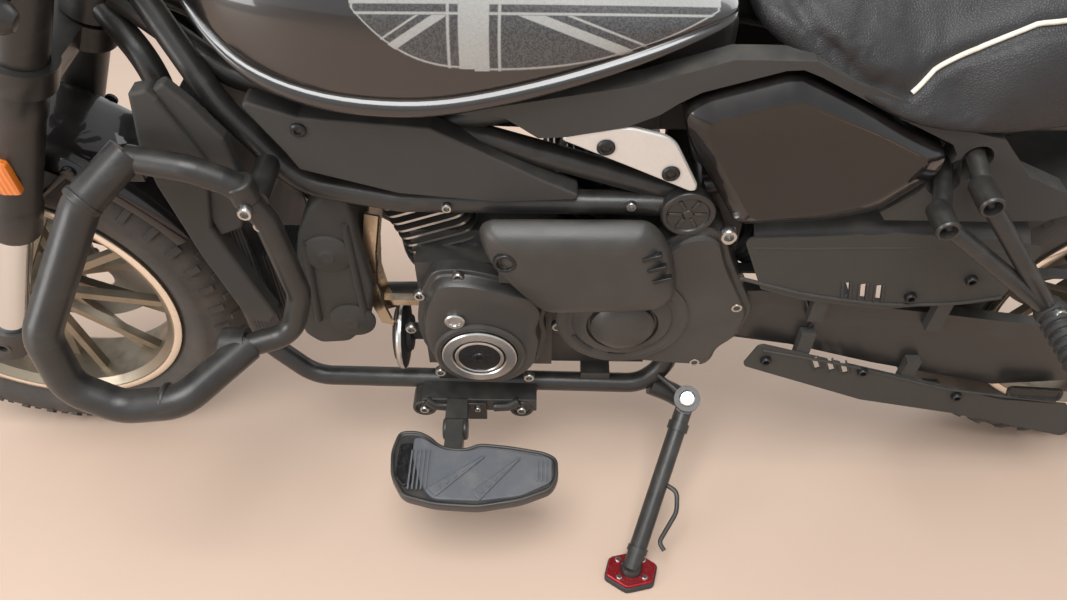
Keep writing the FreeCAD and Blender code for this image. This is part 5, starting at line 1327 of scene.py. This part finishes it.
class MOTORCYCLE_OT_swingarm(bpy.types.Operator):
    """Make the swingarm's axle plates and nuts, the shock's spring and the intake's bellows"""
    bl_idname = "motorcycle.swingarm"
    bl_label = "Swingarm fittings and shock"

    def execute(self, context):
        bm = bmesh.new()
        for side in SIDES:
            outline = rounded([(52, 338), (-42, 332), (-44, 286), (50, 288)], 8, 4)
            stepped(bm, outline, [(inset, side * y) for inset, y in ((0, 113.4), (0, 117), (1.5, 118.4), (4, 118.6))],
                1)
            sweep(bm, [(478, side * 114, 412), (456, side * 115, 360), (458, side * 114, 332)], 2.4, 8)
        piece("axle_plates", bm, "powder", sharp=30.0)
        for side in SIDES:
            screw(bm, (-36, side * 118, REAR_TYRE[0]), (0, side, 0), 6)
            lathe(bm, [(22, 0), (22, 3), (19, 4)], looking((0, side * 118.5, REAR_TYRE[0]), (0, side, 0)), 32,
                capped=False)
            lathe(bm, [(19, 3), (19, 9), (17, 10.5), (12.2, 10.5)], looking((0, side * 118.5, REAR_TYRE[0]),
                (0, side, 0)), 6, capped=False)
        piece("axle_nuts", bm, "bright", sharp=30.0)
        low, high = Vector((470, 0, 392)), Vector((592, 0, 520))
        way = (high - low).normalized()
        place = looking(low, way)
        sweep(bm, coil(place, 30, 7, 8, 155, 18), 5.2, 8)
        piece("shock_spring", bm, "powder", sharp=60.0)
        rings = [(23 if step % 2 else 27) for step in range(17)]
        line = [Vector((566 - 3.4 * step, 52, 456 - 2.6 * step)) for step in range(17)]
        sweep(bm, line, rings, 24)
        piece("intake_bellows", bm, "rubber", sharp=50.0)
        return {"FINISHED"}


class MOTORCYCLE_OT_tail(bpy.types.Operator):
    """Make the tail lamp's rim, the rear indicators and the blank plate"""
    bl_idname = "motorcycle.tail"
    bl_label = "Rear lamps and plate"

    def execute(self, context):
        bm = bmesh.new()
        place = turned((0, 0, 562), -90, "Y")
        lathe(bm, [(26, 268), (34, 272), (36, 276), (36, 279)], place, 48)
        lathe(bm, [(0, 262), (30, 262), (34, 268)], place, 48, capped=False)
        piece("tail_lamp_rim", bm, "powder", sharp=32.0)
        for side in SIDES:
            bullet = turned((-210, side * 136, 520), -90, "Y")
            lathe(bm, [(0, 0), (9, 1), (14, 8), (16, 18), (16, 38)], bullet, 32)
            lathe(bm, [(16, 38), (14, 43), (8, 47), (0, 48)], bullet, 32, 1, capped=False)
            sweep(bm, [(-232, side * 95.5, 520), (-232, side * 124, 520)], 6, 14)
        piece("rear_indicator_lamps", bm, "powder amber", stands_for=("rear_indicators",), sharp=32.0)
        outline = rounded([(-90, 322), (90, 322), (90, 434), (-90, 434)], 8, 4)
        skin(bm, [[(x, y, z) for y, z in outline] for x in (-355.5, -356.06)])
        piece("blank_plate", bm, "silver", sharp=30.0)
        return {"FINISHED"}


class MOTORCYCLE_OT_exhaust(bpy.types.Operator):
    """Make the mufflers with their end rings and bands"""
    bl_idname = "motorcycle.exhaust"
    bl_label = "Mufflers"

    def execute(self, context):
        bm = bmesh.new()
        rim = bmesh.new()
        for start, way in (((545, -168, 258), (-1, -0.03, 0.05)), ((545, -172, 354), (-1, -0.03, 0.06))):
            place = looking(start, way)
            lathe(bm, [(21, 0), (24, 4), (24, 16), (33, 34), (39, 60), (40, 90), (40, 560), (38, 580), (34, 594),
                (30, 599), (26, 599), (25, 560), (0, 540)], place, 48)
            ring_body(rim, [(30, 596), (33.5, 597), (34, 600), (31, 601), (26, 600), (26, 596)], place, 48)
            for at in (20, 250, 420):
                ring_body(rim, [(24.6 if at == 20 else 40.6, at), (25.6 if at == 20 else 41.8, at + 1),
                    (25.6 if at == 20 else 41.8, at + 9), (24.6 if at == 20 else 40.6, at + 10)], place, 48)
        piece("muffler_bodies", bm, "exhaust", stands_for=("mufflers",), sharp=32.0)
        piece("muffler_rings", rim, "bright", sharp=32.0)
        return {"FINISHED"}


# A footboard from above: x, y, at the height of its top
BOARD = ((991, 223), (984, 192), (958, 191), (940, 200), (927, 213), (909, 217), (892, 217), (876, 209), (835, 213),
    (790, 221), (773, 230), (772, 259), (781, 277), (819, 293), (873, 303), (927, 300), (969, 289), (987, 259))
MAT = ((962, 231), (962, 204), (951, 203), (935, 214), (920, 221), (892, 223), (873, 217), (835, 221), (784, 231),
    (780, 236), (780, 266), (819, 286), (873, 294), (930, 292), (947, 272))


def rib_tree():
    """A geometry node tree that lays ribs side by side, longer in the middle than at the ends."""
    tree, given = node_tree("Mat ribs", (("Ribs", "Int", 12), ("Pitch", "Float", 5.5), ("Length", "Float", 30.0),
        ("Width", "Float", 2.2)))
    size = add(tree, "ShaderNodeCombineXYZ", {0: given["Width"], 1: given["Length"], 2: 2.4}).outputs[0]
    rib = add(tree, "GeometryNodeMeshCube", {"Size": size, "Vertices Y": 5}).outputs["Mesh"]
    step = add(tree, "ShaderNodeCombineXYZ", {0: given["Pitch"]}).outputs[0]
    line = add(tree, "GeometryNodeMeshLine", {"Count": given["Ribs"], "Offset": step}, mode="OFFSET").outputs[0]
    copies = add(tree, "GeometryNodeInstanceOnPoints", {"Points": line, "Instance": rib}).outputs[0]
    return dressed(tree, given, copies)


class MOTORCYCLE_OT_footboards(bpy.types.Operator):
    """Make the footboards with ribbed mats, their brackets, bushings and bolts, and the brake pedal"""
    bl_idname = "motorcycle.footboards"
    bl_label = "Footboards"

    def execute(self, context):
        bm = bmesh.new()
        stepped(bm, rounded(BOARD, 10, 4), ((5, 199), (1, 201), (0, 204), (0, 215), (1.2, 217), (4, 217),
            (5.2, 214.5)), 2)
        block(bm, (802, 92, 172), (962, 128, 198))
        block(bm, (897, 124, 176), (927, 176, 198))
        block(bm, (900, 164, 180), (924, 236, 204))
        lathe(bm, [(13, -17), (15, -15), (15, 15), (13, 17)], looking((912, 170, 188), (1, 0, 0)), 28)
        piece("board_frames", bm, "casing", stands_for=("footboards",), bevel=0.001, sharp=28.0, both=True)
        sweep(bm, bent([(962, -112, 184), (1010, -150, 200), (1030, -215, 250)], 20), 7, 14)
        lathe(bm, [(8, 0), (10, 2), (10, 32), (8, 34)], looking((1030, -206, 250), (0, -1, 0)), 24)
        piece("brake_pedal", bm, "powder", sharp=32.0)
        stepped(bm, rounded(MAT, 8, 4), ((0, 213), (0, 217.5), (1.5, 219), (3, 219)), 2)
        for start, end in (((931, 284), (868, 232)), ((876, 289), (822, 234))):
            way = (Vector(end) - Vector(start)).normalized()
            wide = Vector((-way.y, way.x))
            shape = [Vector(start) + wide * 8, Vector(start) - wide * 8, Vector(end) - wide * 1.5,
                Vector(end) + wide * 1.5]
            ridge = rounded([tuple(v) for v in shape], 2, 2)
            stepped(bm, ridge, ((0, 218), (0, 221), (1.2, 222)), 2)
            for share in (0.12, 0.28, 0.44, 0.6):
                at = Vector(start).lerp(Vector(end), share)
                turn = Matrix.Translation((at.x, at.y, 0)) @ Matrix.Rotation(math.atan2(way.y, way.x), 4, "Z")
                block(bm, (-3, -4.6 + 4 * share, 221.5), (1, 4.6 - 4 * share, 223.2), turn)
        piece("board_mats", bm, "mat", sharp=30.0, both=True)
        tree = rib_tree()
        for side, label in ((1, "left"), (-1, "right")):
            for name, count, start, long in (("front", 5, (940, 252), 56.0), ("rear", 4, (783, 252), 30.0)):
                grown_by_nodes(context, "mat_ribs_%s_%s" % (name, label), tree,
                    {"Ribs": count, "Pitch": context.scene.motorcycle_sizes.rib_pitch * 1000, "Length": long},
                    Matrix.Translation((start[0], side * start[1], 219.5)), "root", "mat")
        plate = rounded([(962, 212), (979, 214), (981, 262), (968, 276), (958, 268), (964, 240)], 4, 3)
        stepped(bm, plate, ((0, 214), (0, 218.5), (1, 219.2), (3, 219.2), (3.6, 218.2)), 2)
        piece("board_end_plates", bm, "dark", sharp=30.0, both=True)
        for x in (823, 960):
            place = looking((x, 128, 176), LEFT)
            lathe(bm, [(17, -30), (17, 0), (15.5, 2), (12, 2), (11, -2), (0, -2)], place, 40)
        block(bm, (872, 127, 158), (920, 134, 196))
        sweep(bm, [(826, 128, 196), (842, 130, 186), (862, 130, 184)], 7, 10)
        sweep(bm, [(956, 128, 196), (944, 130, 186), (924, 130, 184)], 7, 10)
        piece("board_bushings", bm, "powder", bevel=0.001, sharp=32.0, both=True)
        for x, y, z, size in ((823, 126, 176, 7), (960, 126, 176, 7), (884, 134, 186, 4.5), (908, 134, 186, 4.5),
                (912, 134, 190, 4.5)):
            screw(bm, (x, y, z), LEFT, size)
        piece("board_bolts", bm, "bright", sharp=30.0, both=True)
        return {"FINISHED"}


class MOTORCYCLE_OT_stand(bpy.types.Operator):
    """Make the side stand's bracket, pivot bolt, spring, heel wire and hexagonal foot plate"""
    bl_idname = "motorcycle.stand"
    bl_label = "Side stand"

    def execute(self, context):
        low, high = (Vector(corner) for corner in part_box("stand_foot"))
        middle = (low + high) / 2
        here = PARK.inverted()
        bm = bmesh.new()
        pad = here @ Matrix.Translation((middle.x, middle.y, 0)) @ Matrix.Scale(0.001, 4)
        hexagon = rounded([(39 * math.cos(a), 31 * math.sin(a)) for a in
            (math.radians(60 * k + 18) for k in range(6))], 5, 3)
        stepped(bm, hexagon, ((1.5, 0.2), (0, 1.5), (0, 9), (1, 10)), 2, pad)
        piece("foot_pad", bm, "rubber", body="side_stand", sharp=30.0)
        plate = grown(hexagon, -2)
        stepped(bm, plate, ((0, 9.8), (0, 13), (1, 14)), 2, pad)
        piece("foot_plate", bm, "anodised", body="side_stand", stands_for=("stand_foot",), sharp=30.0)
        for k in range(4):
            a = math.radians(90 * k + 45)
            lathe(bm, [(4, 13.8), (4, 15.6), (3, 16.6), (0, 16.6)], pad @
                Matrix.Translation((24 * math.cos(a), 19 * math.sin(a), 0)), 16)
        piece("foot_screws", bm, "bright", body="side_stand", sharp=30.0)
        pivot = Vector((592, 122, 196))
        axis = Vector((0.13, 0.5, 0.855)).normalized()
        end = here @ Vector((middle.x, middle.y, 0.015))
        leg = (end - pivot).normalized()
        lathe(bm, [(11, 14.5), (11, 18), (9, 19.5), (6, 19.5), (5.6, 17), (0, 17)], looking(pivot, axis), 24)
        piece("stand_pivot_bolt", bm, "bright", sharp=30.0)
        sweep(bm, bent([(640, 92, 190), (612, 97, 180), (588, 107, 171)], 10), 15, 18)
        piece("stand_bracket", bm, "powder", sharp=40.0)
        lathe(bm, [(15, 13.5), (15, 17), (12, 22)], pad, 24)
        aside = leg.cross(axis).normalized()
        heel = [pivot + leg * 120 - aside * 6, pivot + leg * 124 - aside * 26 + axis * 4,
            pivot + leg * 150 - aside * 34 + axis * 5, pivot + leg * 196 - aside * 24 + axis * 4,
            pivot + leg * 204 - aside * 34 + axis * 4]
        sweep(bm, bent(heel, 8, 3), 3.2, 10)
        lathe(bm, [(14.5, -6), (14.5, 6)], looking(pivot + leg * 40, leg), 24)
        lathe(bm, [(14, -4), (14, 4)], looking(end - leg * 26, leg), 24)
        piece("stand_heel_wire", bm, "powder", body="side_stand", sharp=40.0)
        top, bottom = pivot + leg * 24 - axis * 20, pivot + leg * 108 - axis * 15
        way = (bottom - top).normalized()
        place = looking(top, way)
        far = (bottom - top).length - 10
        sweep(bm, coil(place, 6, 15, 10, far - 10, 12), 1.6, 6)
        sweep(bm, [top, place @ Vector((0, 0, 10)), place @ Vector((6, 0, 10))], 1.6, 6)
        sweep(bm, [place @ Vector((6, 0, far)), place @ Vector((0, 0, far)), bottom], 1.6, 6)
        piece("stand_spring", bm, "bright", body="side_stand", sharp=60.0)
        return {"FINISHED"}


# The swingarm's pivot, the joint of a passenger peg and the way the peg points
ARM_PIVOT = (638, 0, 548)
PEG = (243, 195, 474)
PEG_WAY = (-15, 97, -12)


class MOTORCYCLE_OT_frame_fittings(bpy.types.Operator):
    """Make the frame's pivot caps, the peg stays with their cups, peg rubbers and bolts"""
    bl_idname = "motorcycle.frame_fittings"
    bl_label = "Frame and peg fittings"

    def execute(self, context):
        bm = bmesh.new()
        lathe(bm, [(27.8, 123.5), (30, 124), (30, 127), (28, 128.5), (24, 128.5), (22.5, 126), (6, 126), (5, 128),
            (0, 128)], turned(ARM_PIVOT, -90, "X"), 48)
        for k in range(6):
            a = math.radians(60 * k)
            block(bm, (7, 125.5, -2), (21, 127.6, 2), Matrix.Translation(ARM_PIVOT) @ Matrix.Rotation(a, 4, "Y"))
        piece("pivot_caps", bm, "powder", bevel=0.0006, sharp=32.0, both=True)
        for points in (((372, 92, 600), (392, 172, 584), PEG), ((358, 92, 634), (360, 172, 616), PEG)):
            sweep(bm, bent(points, 18), 9.5, 18)
        for x, z in ((391, 585), (360, 617)):
            lathe(bm, [(12.5, 154), (12.5, 188), (11.2, 190), (9, 190), (8.5, 178), (0, 178)],
                turned((x, 0, z), -90, "X"), 32)
        lathe(bm, [(13, -12), (15, -9), (15, 96), (13, 98)], looking(PEG, PEG_WAY), 28)
        piece("peg_stay_tubes", bm, "powder", stands_for=("peg_stays",), sharp=32.0, both=True)
        peg = looking(PEG, PEG_WAY)
        profile = [(0, -4), (16, -4), (17, -2), (17, 6), (14, 8)]
        for step in range(8):
            profile += [(14, 12 + step * 10), (17, 13.5 + step * 10), (17, 18 + step * 10), (14, 19.5 + step * 10)]
        profile += [(15, 94), (18, 96), (18, 99), (0, 100)]
        lathe(bm, profile, peg, 28)
        piece("peg_rubbers", bm, "rubber", sharp=35.0, both=True)
        for at, way, size in (((243, 206, 484), (-0.1, 1, 0.3), 7), ((700, 122, 558), (0, 1, 0), 6),
                ((900, 116, 548), (0, 1, 0), 6)):
            screw(bm, at, way, size)
        piece("frame_bolts", bm, "bright", sharp=30.0, both=True)
        return {"FINISHED"}


PIECES = (MOTORCYCLE_OT_finishes, MOTORCYCLE_OT_tank, MOTORCYCLE_OT_saddle, MOTORCYCLE_OT_body_panels,
    MOTORCYCLE_OT_engine_covers, MOTORCYCLE_OT_cylinders, MOTORCYCLE_OT_wheels, MOTORCYCLE_OT_fork,
    MOTORCYCLE_OT_head_unit, MOTORCYCLE_OT_radiator, MOTORCYCLE_OT_crash_bars, MOTORCYCLE_OT_belt_guards,
    MOTORCYCLE_OT_swingarm, MOTORCYCLE_OT_tail, MOTORCYCLE_OT_exhaust, MOTORCYCLE_OT_footboards, MOTORCYCLE_OT_stand,
    MOTORCYCLE_OT_frame_fittings, MOTORCYCLE_OT_stage)


class MOTORCYCLE_PT_panel(bpy.types.Panel):
    """Lists the pieces of the motorcycle"""
    bl_idname = "MOTORCYCLE_PT_panel"
    bl_label = "Motorcycle"
    bl_space_type = "VIEW_3D"
    bl_region_type = "UI"
    bl_category = "Motorcycle"

    def draw(self, context):
        for group in (context.scene.motorcycle_colours, context.scene.motorcycle_sizes):
            for key in group.__annotations__:
                self.layout.prop(group, key)
        for piece_maker in PIECES:
            self.layout.operator(piece_maker.bl_idname)


GROUPS = (MotorcycleColours, MotorcycleSizes)


def register():
    """Adds the groups, operators and panel."""
    for kind in GROUPS + PIECES + (MOTORCYCLE_PT_panel,):
        bpy.utils.register_class(kind)
    bpy.types.Scene.motorcycle_colours = bpy.props.PointerProperty(type=MotorcycleColours)
    bpy.types.Scene.motorcycle_sizes = bpy.props.PointerProperty(type=MotorcycleSizes)


def unregister():
    """Takes them away again."""
    del bpy.types.Scene.motorcycle_sizes
    del bpy.types.Scene.motorcycle_colours
    for kind in reversed(GROUPS + PIECES + (MOTORCYCLE_PT_panel,)):
        bpy.utils.unregister_class(kind)


def main():
    """Builds every piece in order."""
    register()
    for piece_maker in PIECES:
        group, name = piece_maker.bl_idname.split(".")
        getattr(getattr(bpy.ops, group), name)()


if __name__ == "__main__":
    main()
